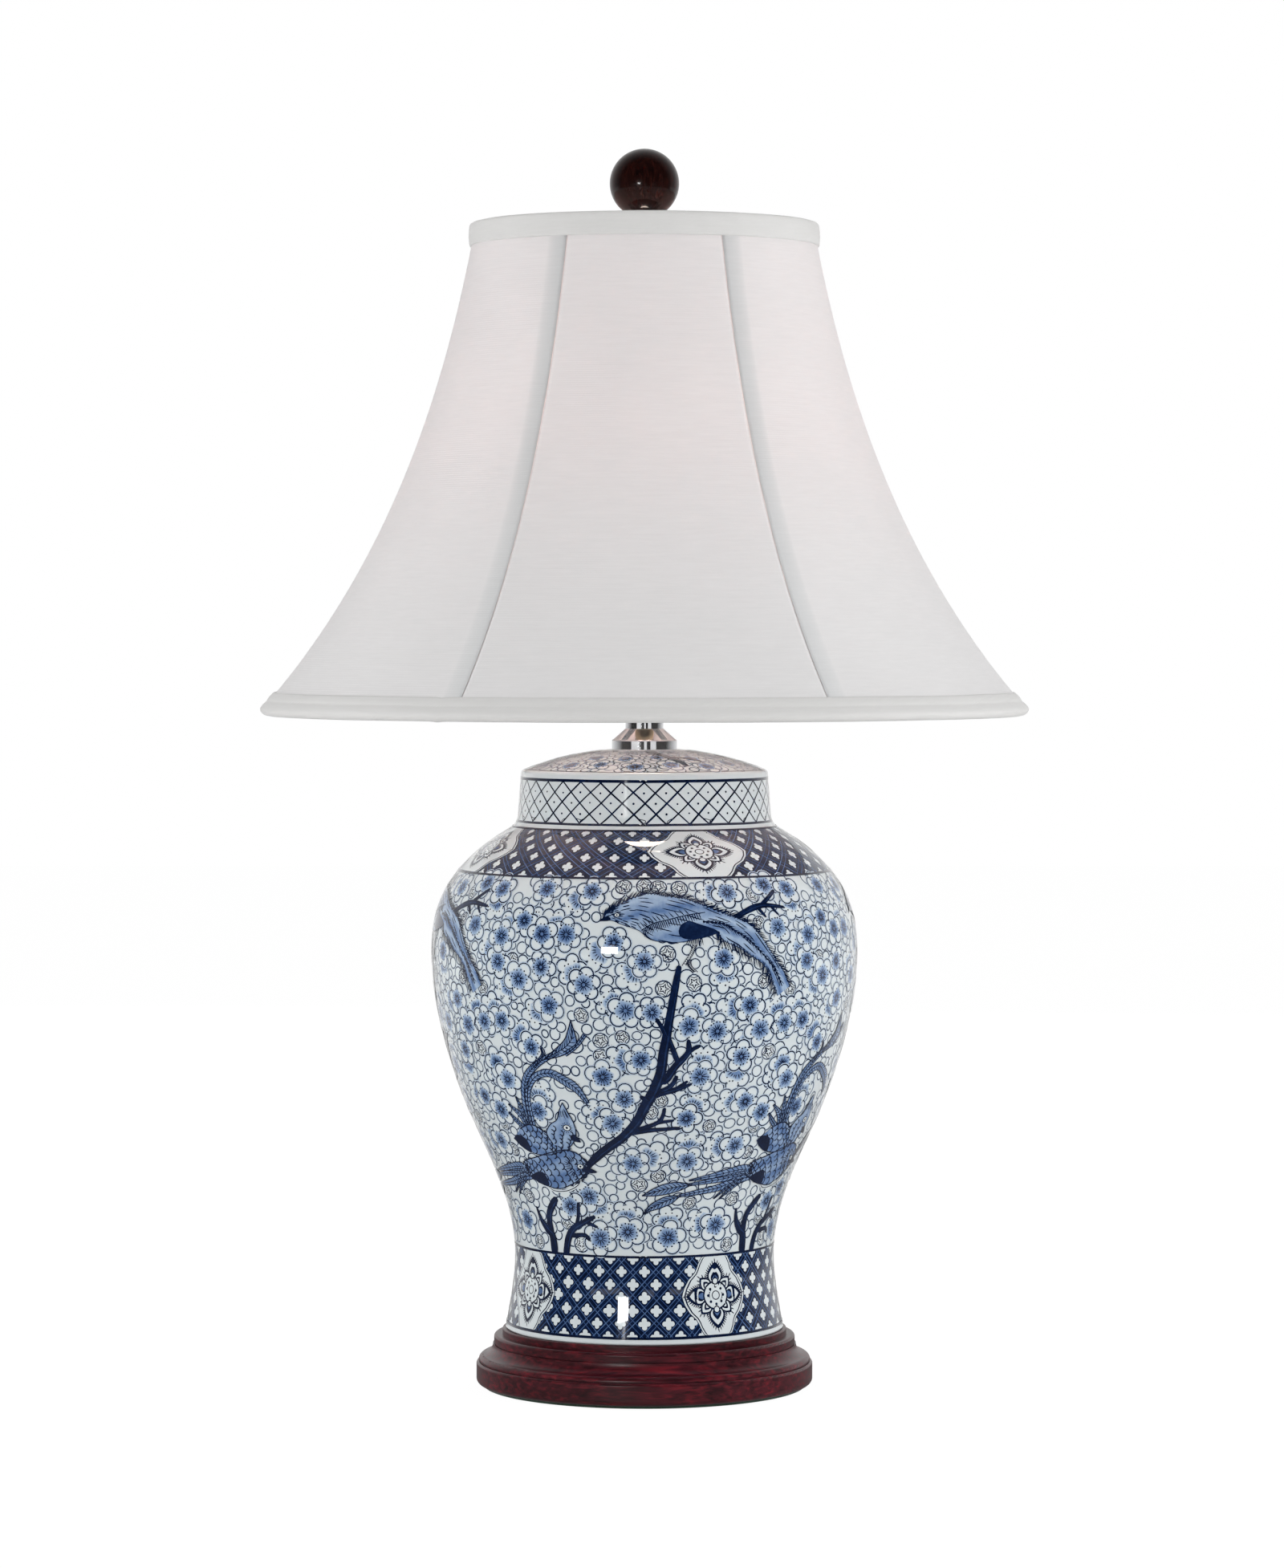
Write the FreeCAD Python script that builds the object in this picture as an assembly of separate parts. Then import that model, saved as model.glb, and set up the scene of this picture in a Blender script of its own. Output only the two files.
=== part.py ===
import FreeCAD, Part
import math
import os

# A table lamp: a blue-and-white porcelain ginger jar on a turned wooden base,
# with a bell shade of six cloth panels carried by a wire harp.
# Sizes are in millimetres. +Z is up, the origin is the centre of the underside
# and the front of the lamp, where the switch knob is, faces -Y.

# Clearances
layer_gap = 0.2  # between the layers of cloth, wire and trim on the shade
thread_clearance = 0.05  # between a male thread's crests and its nut or bore
slip_clearance = 0.3  # round a piece that is dropped or slid over another
touch_gap = 0.05  # between a round piece and the flat end that butts on it

# Felt pad under the base
felt_radius = 91.0
felt_thickness = 1.5

# Turned wooden base
base_radius = 95.0
base_height = 33.0  # top of the jar's seat above the table
plinth_height = 12.7
plinth_ledge = 1.8
plinth_bottom_round = 3.0
plinth_top_round = 1.6
groove_rise = 0.6
ovolo_radius = 93.7
cove_foot_radius = 91.0
cove_foot_height = 17.8
cove_top_radius = 85.7
cove_top_height = 24.0
cove_depth = 1.5
ovolo_bulge = 0.8
bead_radius = 85.0
bead_groove = 0.5
bead_height = 29.4
bead_round = 1.6
step_radius = 80.2
step_round = 0.8
base_recess_radius = 30.0
base_recess_depth = 10.0
cord_channel_radius = 4.3
cord_channel_height = 7.0

# Cord bushing at the back of the base
bushing_bore_radius = 3.2
bushing_flange_radius = 5.4
bushing_flange_thickness = 2.0
bushing_length = 14.0

# Threaded rod that clamps the whole column, with its lower washer and nut
rod_radius = 4.8
rod_bore_radius = 3.2
rod_above_saddle = 8.0
rod_below_nut = 1.5
washer_radius = 14.0
washer_thickness = 1.5
nut_sides = 6
nut_across_flats = 14.3
nut_thickness = 4.5

# Porcelain jar
jar_wall = 5.5
jar_foot_radius = 78.5
jar_foot_width = 10.5
jar_foot_depth = 5.0
jar_foot_round = 1.2
jar_floor = 6.0
jar_waist_radius = 73.1
jar_waist_height = 45.5  # this and the next two heights are above the foot
jar_belly_radius = 119.9
jar_belly_height = 208.5
jar_collar_foot_radius = 71.7
jar_collar_foot_height = 284.8
jar_collar_fillet = 9.0
jar_rim_radius = 69.5
jar_collar_rise = 30.0
jar_rim_round = 2.4
jar_dome_rise = 12.0
jar_dome_bulge = 2.1
jar_hole_radius = 6.0
# Shape of the jar's side between foot, waist, belly and collar: how far up
# each stretch and how far across it the outline has gone.
foot_to_waist = ((0.40, 0.59),)
waist_to_belly = ((0.206, 0.150), (0.457, 0.526), (0.709, 0.836))
belly_to_collar = ((0.361, 0.060), (0.622, 0.263), (0.832, 0.590))

# Rubber rings under the jar and under the neck
seat_gasket_radius = 22.0
top_gasket_radius = 13.0
top_gasket_thickness = 1.2

# Chromed neck on top of the jar
neck_ring_radius = 18.3
neck_ring_height = 5.4
neck_ring_round = 0.8
neck_cone_height = 6.1
neck_tube_radius = 10.65
neck_tube_height = 13.1
neck_wall = 1.2

# Harp: saddle, wire bow, stud and two locking sleeves
saddle_thickness = 1.6
saddle_width = 12.0
saddle_bend = 2.5
saddle_ledge_height = 10.0
saddle_ledge_width = 10.8
saddle_tongue_width = 4.8
saddle_tongue_height = 11.4
harp_height = 254.0  # saddle strap to shade seat
harp_wire_radius = 1.6
harp_foot_spread = 38.0
harp_half_width = 57.0
harp_foot_straight = 32.0
harp_shoulder_height = 42.0
harp_crown_radius = 51.0
stud_collar_radius = 4.8
stud_collar_height = 4.8
stud_flange_radius = 8.0
stud_flange_thickness = 2.0
stud_radius = 3.175
stud_engagement = 8.0  # length of stud inside the finial
sleeve_bore_radius = 4.1
sleeve_wall = 1.1
sleeve_height = 16.0
sleeve_round = 0.5

# Lamp socket, screwed on the rod above the saddle
socket_hub_radius = 7.6
socket_hub_height = 5.0
socket_dome_height = 9.0
socket_dome_bulge = 1.6
socket_cap_wall = 0.6
socket_cap_lip = 5.0
socket_radius = 16.4
socket_wall = 0.5
socket_shell_height = 43.0
socket_lap = 4.0
socket_bead_radius = 0.9
socket_bead_drop = 6.0
liner_thickness = 0.5
liner_drop = 1.5
socket_body_radius = 14.9
socket_body_height = 12.0
screw_shell_wall = 0.4
screw_shell_height = 24.0
screw_shell_gap = 1.5
set_screw_radius = 1.5
set_screw_length = 5.2
terminal_head_radius = 2.6
terminal_head_thickness = 1.6
terminal_shank_radius = 1.4
terminal_shank_length = 6.0
contact_radius = 5.0
contact_thickness = 1.5
contact_rivet_radius = 2.0

# Switch on the front of the socket
switch_height = 6.5  # above the bottom of the socket's inner body
switch_shaft_radius = 2.0
switch_shaft_depth = 7.0
switch_shaft_reach = 28.0
knob_collar_radius = 4.2
knob_collar_length = 3.0
knob_length = 14.0
knob_width = 14.0
knob_thickness = 5.6
knob_round = 2.4
knob_gap = 1.0

# Medium screw-base bulb
bulb_tip_radius = 4.6
bulb_tip_height = 1.4
bulb_insulator_height = 3.4
bulb_insulator_radius = 9.6
bulb_cap_radius = 13.1
bulb_cap_wall = 0.4
bulb_cap_height = 22.0
bulb_thread_pitch = 3.629
bulb_thread_count = 5
bulb_thread_depth = 0.6
bulb_globe_radius = 30.0
bulb_length = 108.0
bulb_neck_gap = 0.2  # cement between the glass neck and the cap
bulb_neck_height = 10.0
bulb_shoulder_lean = 30.0
bulb_glass = 0.9
bulb_stem_radius = 4.0
bulb_stem_height = 30.0
filament_radius = 0.6
filament_half_width = 9.0
filament_rise = 12.0
lead_radius = 0.4

# Bell shade
shade_drop = 15.0  # hub seat below the top edge
shade_top_radius = 97.3
shade_flare = 109.7
shade_curl = 1.4
shade_top_trim_height = 13.0
shade_flare_height = 250.0  # top trim's lower edge to bottom trim's upper edge
shade_cloth = 0.7
shade_lining_thickness = 0.5
shade_stations = 7
panel_count = 6
seam_gap = 0.4
ring_wire_radius = 1.6
rib_wire_radius = 1.2
trim_thickness = 0.8
trim_inner_leg = 6.0
bottom_trim_height = 9.6
bottom_ring_drop = 9.6  # bottom ring's centre below the bottom trim's upper edge
hub_radius = 13.0
hub_thickness = 2.4
hub_clearance = 0.1
arm_count = 3
first_arm_bearing = 90.0
arm_wire_radius = 1.3
arm_bend_radius = 60.0
arm_bend = 25.0

# Finial: a wooden ball round a threaded brass bush
finial_ball_radius = 19.5
finial_ball_height = 35.1  # ball's centre above the hub
finial_neck_radius = 7.2
finial_neck_fillet = 3.0
bush_radius = 4.8
bush_length = 14.0
bush_bore_depth = 12.0
bush_stand_off = 0.5

# Heights of the column, worked out from the sizes above
base_ceiling = felt_thickness + base_recess_depth
jar_foot = base_height
jar_collar_foot = jar_foot + jar_collar_foot_height
jar_rim = jar_collar_foot + jar_collar_rise
neck_foot = jar_rim + jar_dome_rise
neck_top = neck_foot + neck_ring_height + neck_cone_height + neck_tube_height
saddle_top = neck_top + saddle_thickness
ledge_top = saddle_top + saddle_ledge_height
hub_seat = saddle_top + harp_height
hub_top = hub_seat + hub_thickness
shade_top = hub_seat + shade_drop
flare_top = shade_top - shade_top_trim_height
socket_foot = saddle_top
cap_top = socket_foot + socket_hub_height + socket_dome_height + socket_cap_lip
shell_foot = cap_top - socket_lap
shell_top = shell_foot + socket_shell_height
liner_foot = shell_foot + liner_drop
liner_top = shell_top - liner_drop
body_foot = shell_foot + liner_drop
body_top = body_foot + socket_body_height
switch_axis = body_foot + switch_height
bulb_foot = body_top + contact_thickness
bulb_cap_foot = bulb_foot + bulb_tip_height + bulb_insulator_height
bulb_cap_top = bulb_cap_foot + bulb_cap_height
globe_centre = bulb_foot + bulb_length - bulb_globe_radius
bulb_thread_root = bulb_cap_radius - bulb_thread_depth
bulb_neck_radius = bulb_thread_root - bulb_cap_wall - bulb_neck_gap

up = FreeCAD.Vector(0, 0, 1)
centre = FreeCAD.Vector(0, 0, 0)


def point(radius, height):
    return FreeCAD.Vector(radius, 0, height)


def line(start, end):
    return Part.makeLine(point(*start), point(*end))


# An arc whose middle stands off its chord, to the left going from start to end
def bow(start, end, bulge):
    run = (end[0] - start[0], end[1] - start[1])
    length = math.hypot(run[0], run[1])
    middle_radius = (start[0] + end[0]) / 2 - run[1] / length * bulge
    middle_height = (start[1] + end[1]) / 2 + run[0] / length * bulge
    return Part.Arc(point(*start), point(middle_radius, middle_height), point(*end)).toShape()


def chain(corners):
    return [line(first, second) for first, second in zip(corners, corners[1:])]


def smooth(stations):
    curve = Part.BSplineCurve()
    curve.interpolate([point(*station) for station in stations])
    return curve


def turned(edges):
    return Part.Face(Part.Wire(edges)).revolve(centre, up, 360)


def turned_corners(corners):
    return turned(chain(corners + [corners[0]]))


def tube(outer, inner, bottom, top):
    return turned_corners([(inner, bottom), (outer, bottom), (outer, top), (inner, top)])


def disc(radius, bottom, top):
    return Part.makeCylinder(radius, top - bottom, FreeCAD.Vector(0, 0, bottom))


# Rounds the circular edges that lie at the given radius and height
def round_rim(solid, radius, height, size):
    rims = []
    for edge in solid.Edges:
        if edge.Degenerated or not hasattr(edge.Curve, "Radius"):
            continue
        same_radius = abs(edge.Curve.Radius - radius) < touch_gap
        same_height = abs(edge.Curve.Center.z - height) < touch_gap
        if same_radius and same_height:
            rims.append(edge)
    return solid.makeFillet(size, rims)


def box(low, high):
    size = [high[axis] - low[axis] for axis in range(3)]
    return Part.makeBox(size[0], size[1], size[2], FreeCAD.Vector(*low))


def along_y(radius, start, end, height, across=0.0):
    foot = FreeCAD.Vector(across, start, height)
    return Part.makeCylinder(radius, end - start, foot, FreeCAD.Vector(0, 1, 0))


def along_x(radius, start, end, height):
    foot = FreeCAD.Vector(start, 0, height)
    return Part.makeCylinder(radius, end - start, foot, FreeCAD.Vector(1, 0, 0))


def turn_about_z(shape, degrees):
    copy = shape.copy()
    copy.rotate(centre, up, degrees)
    return copy


def mirror_x(shape):
    return shape.mirror(centre, FreeCAD.Vector(1, 0, 0))


# A round wire swept along a chain of edges that meet tangentially
def wire_along(edges, radius):
    path = Part.Wire(edges)
    first = path.OrderedEdges[0]
    start = first.valueAt(first.FirstParameter)
    heading = first.tangentAt(first.FirstParameter)
    section = Part.Wire(Part.makeCircle(radius, start, heading))
    return path.makePipeShell([section], True, False)


def save(name, shape):
    shape.exportStep("parts/" + name + ".step")


# ---- Base ----

def make_felt():
    return disc(felt_radius, 0, felt_thickness)


def make_wood_base():
    plinth_top = felt_thickness + plinth_height
    ledge = base_radius - plinth_ledge
    ovolo_foot = (ovolo_radius, plinth_top + groove_rise)
    cove_foot = (cove_foot_radius, cove_foot_height)
    cove_top = (cove_top_radius, cove_top_height)
    outline = chain([
        (0, base_height),
        (0, felt_thickness),
        (base_radius, felt_thickness),
        (base_radius, plinth_top),
        (ledge, plinth_top),
        (ledge, plinth_top + groove_rise),
        ovolo_foot,
    ])
    outline.append(bow(ovolo_foot, cove_foot, -ovolo_bulge))
    outline.append(bow(cove_foot, cove_top, cove_depth))
    outline += chain([
        cove_top,
        (bead_radius - bead_groove, cove_top_height),
        (bead_radius - bead_groove, cove_top_height + bead_groove),
        (bead_radius, cove_top_height + bead_groove),
        (bead_radius, bead_height),
        (step_radius, bead_height),
        (step_radius, base_height),
        (0, base_height),
    ])
    wood = turned(outline)
    wood = round_rim(wood, base_radius, felt_thickness, plinth_bottom_round)
    wood = round_rim(wood, base_radius, plinth_top, plinth_top_round)
    wood = round_rim(wood, bead_radius, bead_height, bead_round)
    wood = round_rim(wood, step_radius, base_height, step_round)
    wood = wood.cut(disc(base_recess_radius, felt_thickness, base_ceiling))
    wood = wood.cut(disc(rod_radius + slip_clearance, base_ceiling, base_height))
    channel = along_y(cord_channel_radius, 0, base_radius, cord_channel_height)
    return wood.cut(channel)


def make_cord_bushing():
    face = base_radius + touch_gap
    sleeve = along_y(cord_channel_radius - touch_gap, face - bushing_length, face, cord_channel_height)
    outer = face + bushing_flange_thickness
    flange = along_y(bushing_flange_radius, face, outer, cord_channel_height)
    bore = along_y(bushing_bore_radius, face - bushing_length, outer, cord_channel_height)
    return sleeve.fuse(flange).cut(bore).removeSplitter()


# ---- Threaded rod and its lower fastening ----

def make_rod():
    bottom = base_ceiling - washer_thickness - nut_thickness - rod_below_nut
    return tube(rod_radius, rod_bore_radius, bottom, saddle_top + rod_above_saddle)


def make_rod_washer():
    return tube(washer_radius, rod_radius + slip_clearance, base_ceiling - washer_thickness, base_ceiling)


def make_rod_nut():
    top = base_ceiling - washer_thickness
    corner = nut_across_flats / 2 / math.cos(math.pi / nut_sides)
    corners = []
    for side in range(nut_sides + 1):
        angle = math.tau * side / nut_sides
        along = corner * math.cos(angle)
        across = corner * math.sin(angle)
        corners.append(FreeCAD.Vector(along, across, top - nut_thickness))
    prism = Part.Face(Part.makePolygon(corners)).extrude(up * nut_thickness)
    return prism.cut(disc(rod_radius + thread_clearance, top - nut_thickness, top))


# ---- Porcelain jar ----

def between(first, second, shares):
    stations = []
    for up_share, across_share in shares:
        radius = first[0] + (second[0] - first[0]) * across_share
        height = first[1] + (second[1] - first[1]) * up_share
        stations.append((radius, height))
    return stations


def jar_side():
    foot = (jar_foot_radius, jar_foot)
    waist = (jar_waist_radius, jar_foot + jar_waist_height)
    belly = (jar_belly_radius, jar_foot + jar_belly_height)
    collar = (jar_collar_foot_radius, jar_collar_foot)
    stations = [foot]
    stations += between(foot, waist, foot_to_waist)
    stations.append(waist)
    stations += between(waist, belly, waist_to_belly)
    stations.append(belly)
    stations += between(belly, collar, belly_to_collar)
    stations.append(collar)
    return stations


def make_jar_outside():
    collar = (jar_collar_foot_radius, jar_collar_foot)
    rim = (jar_rim_radius, jar_rim)
    seat = (neck_ring_radius, neck_foot)
    outline = [smooth(jar_side()).toShape(), line(collar, rim), bow(rim, seat, -jar_dome_bulge)]
    outline += chain([seat, (0, neck_foot), (0, jar_foot), (jar_foot_radius, jar_foot)])
    jar = turned(outline)
    jar = round_rim(jar, jar_collar_foot_radius, collar[1], jar_collar_fillet)
    jar = round_rim(jar, jar_rim_radius, rim[1], jar_rim_round)
    return round_rim(jar, jar_foot_radius, jar_foot, jar_foot_round)


# The cavity follows the outside at the wall's thickness, from floor to dome
def make_jar_cavity():
    side = smooth(jar_side())
    floor = jar_foot + jar_foot_depth + jar_floor
    inner = []
    for radius, height in jar_side()[1:-1]:
        place = side.parameter(point(radius, height))
        heading = side.tangent(place)[0]
        inner.append((radius - heading.z * jar_wall, height + heading.x * jar_wall))
    lip = (jar_rim_radius - jar_wall, jar_collar_foot)
    ceiling = (jar_rim_radius - jar_wall, jar_rim - jar_wall)
    crown = (neck_ring_radius, neck_foot - jar_wall)
    outline = chain([(0, floor), (inner[0][0], floor), inner[0]])
    outline.append(smooth(inner).toShape())
    outline += chain([inner[-1], lip, ceiling])
    outline.append(bow(ceiling, crown, -jar_dome_bulge))
    outline += chain([crown, (0, crown[1]), (0, floor)])
    return turned(outline)


def make_jar():
    jar = make_jar_outside().cut(make_jar_cavity())
    jar = jar.cut(disc(jar_foot_radius - jar_foot_width, jar_foot, jar_foot + jar_foot_depth))
    return jar.cut(disc(jar_hole_radius, jar_foot, neck_foot))


def make_jar_seat_gasket():
    return tube(seat_gasket_radius, rod_radius + slip_clearance, jar_foot, jar_foot + jar_foot_depth)


def make_jar_top_gasket():
    top = neck_foot + top_gasket_thickness
    return tube(top_gasket_radius, rod_radius + slip_clearance, neck_foot, top)


# ---- Chromed neck ----

def make_neck_ring():
    ring = disc(neck_ring_radius, neck_foot, neck_foot + neck_ring_height)
    ring = round_rim(ring, neck_ring_radius, neck_foot + neck_ring_height, neck_ring_round)
    pocket = disc(top_gasket_radius + slip_clearance, neck_foot, neck_foot + top_gasket_thickness)
    bore = disc(rod_radius + slip_clearance, neck_foot, neck_foot + neck_ring_height)
    return ring.cut(pocket).cut(bore)


def make_neck_tube():
    foot = neck_foot + neck_ring_height
    cone_top = foot + neck_cone_height
    foot_radius = neck_ring_radius - neck_ring_round
    bore = rod_radius + slip_clearance
    return turned_corners([
        (foot_radius - neck_wall, foot),
        (foot_radius, foot),
        (neck_tube_radius, cone_top),
        (neck_tube_radius, neck_top),
        (bore, neck_top),
        (bore, neck_top - neck_wall),
        (neck_tube_radius - neck_wall, neck_top - neck_wall),
        (neck_tube_radius - neck_wall, cone_top),
    ])


# ---- Harp ----

tongue_outer = harp_foot_spread - harp_wire_radius - slip_clearance
tongue_inner = tongue_outer - saddle_thickness
sleeve_axis = (tongue_inner + harp_foot_spread + harp_wire_radius) / 2


def make_saddle():
    half = saddle_width / 2
    side = Part.makeBox(tongue_outer, saddle_width, ledge_top - neck_top, FreeCAD.Vector(0, -half, neck_top))
    hollow = box((0, -half, saddle_top), (tongue_inner, half, ledge_top))
    side = side.cut(hollow)
    outer_corner = []
    inner_corner = []
    for edge in side.Edges:
        middle = edge.CenterOfMass
        if abs(middle.x - tongue_outer) < touch_gap and abs(middle.z - neck_top) < touch_gap:
            outer_corner.append(edge)
        if abs(middle.x - tongue_inner) < touch_gap and abs(middle.z - saddle_top) < touch_gap:
            inner_corner.append(edge)
    side = side.makeFillet(saddle_bend, outer_corner)
    half_ledge = saddle_ledge_width / 2
    ledge_low = (sleeve_axis - half_ledge, -half_ledge, ledge_top - saddle_thickness)
    ledge = box(ledge_low, (sleeve_axis + half_ledge, half_ledge, ledge_top))
    half_tongue = saddle_tongue_width / 2
    tongue_low = (tongue_inner, -half_tongue, ledge_top)
    tongue = box(tongue_low, (tongue_outer, half_tongue, ledge_top + saddle_tongue_height))
    right = side.fuse(ledge).fuse(tongue)
    saddle = right.fuse(mirror_x(right)).removeSplitter()
    return saddle.cut(disc(rod_radius + slip_clearance, neck_top, saddle_top))


def make_harp_wire():
    crown = hub_seat - stud_flange_thickness - stud_collar_height / 2
    elbow = crown - harp_crown_radius
    flat = harp_half_width - harp_crown_radius
    foot_top = ledge_top + harp_foot_straight
    shoulder = foot_top + harp_shoulder_height
    foot = point(harp_foot_spread, ledge_top)
    knee = point(harp_foot_spread, foot_top)
    spread = harp_half_width - harp_foot_spread
    bend = (spread ** 2 + harp_shoulder_height ** 2) / (4 * spread)
    turn = math.asin(harp_shoulder_height / 2 / bend)
    half_turn_in = bend * (1 - math.cos(turn / 2))
    half_turn_up = bend * math.sin(turn / 2)
    middle = point(harp_foot_spread + spread / 2, foot_top + harp_shoulder_height / 2)
    low_middle = point(harp_foot_spread + half_turn_in, foot_top + half_turn_up)
    high_middle = point(harp_half_width - half_turn_in, shoulder - half_turn_up)
    hip = point(harp_half_width, shoulder)
    side_top = point(harp_half_width, elbow)
    diagonal = harp_crown_radius * math.sqrt(0.5)
    crown_middle = point(flat + diagonal, elbow + diagonal)
    crown_end = point(flat, crown)
    right = [
        Part.makeLine(foot, knee),
        Part.Arc(knee, low_middle, middle).toShape(),
        Part.Arc(middle, high_middle, hip).toShape(),
        Part.makeLine(hip, side_top),
        Part.Arc(side_top, crown_middle, crown_end).toShape(),
    ]
    left = [mirror_x(edge) for edge in right]
    bridge = Part.makeLine(crown_end, point(-flat, crown))
    return wire_along(right + [bridge] + left[::-1], harp_wire_radius)


def make_harp_stud():
    flange_foot = hub_seat - stud_flange_thickness
    collar_foot = flange_foot - stud_collar_height
    collar = disc(stud_collar_radius, collar_foot, flange_foot)
    flange = disc(stud_flange_radius, flange_foot, hub_seat)
    shank = disc(stud_radius, hub_seat, hub_top + stud_engagement)
    eye_height = collar_foot + stud_collar_height / 2
    eye = along_x(harp_wire_radius + touch_gap, -stud_collar_radius, stud_collar_radius, eye_height)
    return collar.fuse(flange).fuse(shank).removeSplitter().cut(eye)


def make_sleeve(side):
    top = ledge_top + sleeve_height
    outer = sleeve_bore_radius + sleeve_wall
    sleeve = tube(outer, sleeve_bore_radius, ledge_top, top)
    sleeve = round_rim(sleeve, outer, top, sleeve_round)
    sleeve.translate(FreeCAD.Vector(side * sleeve_axis, 0, 0))
    return sleeve


# ---- Socket ----

def make_socket_cap():
    inner_lip = socket_radius + touch_gap
    outer_lip = inner_lip + socket_cap_wall
    hub_top_height = socket_foot + socket_hub_height
    dome_top = hub_top_height + socket_dome_height
    bore = rod_radius + thread_clearance
    outer_start = (socket_hub_radius, hub_top_height)
    outer_end = (outer_lip, dome_top)
    inner_start = (socket_hub_radius, hub_top_height + socket_cap_wall)
    inner_end = (inner_lip, dome_top + socket_cap_wall / 2)
    outline = chain([(bore, socket_foot), (socket_hub_radius, socket_foot), outer_start])
    outline.append(bow(outer_start, outer_end, -socket_dome_bulge))
    outline += chain([outer_end, (outer_lip, cap_top), (inner_lip, cap_top), inner_end])
    outline.append(bow(inner_end, inner_start, socket_dome_bulge))
    outline += chain([inner_start, (bore, inner_start[1]), (bore, socket_foot)])
    cap = turned(outline)
    middle = socket_foot + socket_hub_height / 2
    hole = along_y(set_screw_radius + thread_clearance, rod_radius, socket_hub_radius, middle)
    return cap.cut(hole)


def make_set_screw():
    middle = socket_foot + socket_hub_height / 2
    start = rod_radius + slip_clearance
    screw = along_y(set_screw_radius, start, start + set_screw_length, middle)
    slot_end = start + set_screw_length
    slot = box(
        (-set_screw_radius, slot_end - set_screw_radius / 2, middle - slip_clearance),
        (set_screw_radius, slot_end, middle + slip_clearance),
    )
    return screw.cut(slot)


# The hole that the switch shaft needs through a wall of the socket
def switch_hole(clearance):
    reach = socket_radius + socket_cap_wall + knob_gap
    return along_y(switch_shaft_radius + clearance, -reach, 0, switch_axis)


def make_socket_shell():
    shell = tube(socket_radius, socket_radius - socket_wall, shell_foot, shell_top)
    bead_height = shell_top - socket_bead_drop
    bead = Part.makeTorus(socket_radius - socket_bead_radius / 2, socket_bead_radius, point(0, bead_height))
    bead = bead.cut(disc(socket_radius - socket_wall, shell_foot, shell_top))
    return shell.fuse(bead).removeSplitter().cut(switch_hole(2 * slip_clearance))


def make_socket_liner():
    outer = socket_radius - socket_wall - touch_gap
    liner = tube(outer, outer - liner_thickness, liner_foot, liner_top)
    return liner.cut(switch_hole(2 * slip_clearance))


def make_socket_body():
    body = disc(socket_body_radius, body_foot, body_top)
    shaft_room = along_y(
        switch_shaft_radius + touch_gap, -socket_body_radius, -switch_shaft_depth + touch_gap, switch_axis
    )
    body = body.cut(shaft_room)
    middle = body_foot + socket_body_height / 2
    seat = socket_body_radius - terminal_head_thickness - touch_gap
    head = along_x(terminal_head_radius + slip_clearance, seat, socket_body_radius, middle)
    shank = along_x(
        terminal_shank_radius + thread_clearance, seat - terminal_shank_length - touch_gap, seat, middle
    )
    pocket = head.fuse(shank)
    body = body.cut(pocket).cut(mirror_x(pocket))
    rivet_hole = disc(contact_rivet_radius + touch_gap, body_top - contact_rivet_radius, body_top)
    return body.cut(rivet_hole)


def make_terminal_screw(side):
    middle = body_foot + socket_body_height / 2
    seat = socket_body_radius - terminal_head_thickness - touch_gap
    head = along_x(terminal_head_radius, seat, seat + terminal_head_thickness, middle)
    shank = along_x(terminal_shank_radius, seat - terminal_shank_length, seat, middle)
    screw = head.fuse(shank).removeSplitter()
    if side < 0:
        return mirror_x(screw)
    return screw


def make_screw_shell():
    inner = bulb_cap_radius + slip_clearance
    outer = inner + screw_shell_wall
    shell = tube(outer, inner, body_top, body_top + screw_shell_height)
    floor = tube(outer, contact_radius + screw_shell_gap, body_top, body_top + screw_shell_wall)
    return shell.fuse(floor).removeSplitter()


def make_center_contact():
    blade = disc(contact_radius, body_top, bulb_foot)
    rivet = disc(contact_rivet_radius, body_top - contact_rivet_radius + touch_gap, body_top)
    return blade.fuse(rivet).removeSplitter()


# ---- Switch ----

def make_switch_shaft():
    return along_y(switch_shaft_radius, -switch_shaft_reach, -switch_shaft_depth, switch_axis)


def make_switch_knob():
    inner = -(socket_radius + socket_cap_wall + knob_gap)
    collar = along_y(knob_collar_radius, inner - knob_collar_length, inner, switch_axis)
    half_width = knob_width / 2
    half_thickness = knob_thickness / 2
    paddle = box(
        (-half_width, inner - knob_length, switch_axis - half_thickness),
        (half_width, inner - knob_collar_length, switch_axis + half_thickness),
    )
    corners = []
    for edge in paddle.Edges:
        on_side = abs(abs(edge.CenterOfMass.x) - half_width) < touch_gap
        on_end = abs(edge.CenterOfMass.y - inner + knob_length) < touch_gap
        if on_side or on_end:
            corners.append(edge)
    paddle = paddle.makeFillet(knob_round, corners)
    bore = along_y(switch_shaft_radius + touch_gap, -switch_shaft_reach - touch_gap, inner, switch_axis)
    return collar.fuse(paddle).removeSplitter().cut(bore)


# ---- Bulb ----

def make_bulb_tip():
    return disc(bulb_tip_radius, bulb_foot, bulb_foot + bulb_tip_height)


def make_bulb_insulator():
    foot = bulb_foot + bulb_tip_height
    return Part.makeCone(bulb_tip_radius, bulb_insulator_radius, bulb_insulator_height, point(0, foot))


def make_bulb_cap():
    root = bulb_thread_root
    inner = root - bulb_cap_wall
    lip = bulb_insulator_radius - bulb_cap_wall
    corners = [(lip, bulb_cap_foot), (bulb_insulator_radius, bulb_cap_foot)]
    thread_foot = bulb_cap_foot + root - bulb_insulator_radius
    corners.append((root, thread_foot))
    outline = chain(corners)
    for turn in range(bulb_thread_count):
        start = (root, thread_foot + turn * bulb_thread_pitch)
        end = (root, start[1] + bulb_thread_pitch)
        outline.append(bow(start, end, -bulb_thread_depth))
    outline += chain([
        end,
        (root, bulb_cap_top),
        (inner, bulb_cap_top),
        (inner, thread_foot),
        corners[0],
    ])
    return turned(outline)


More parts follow.
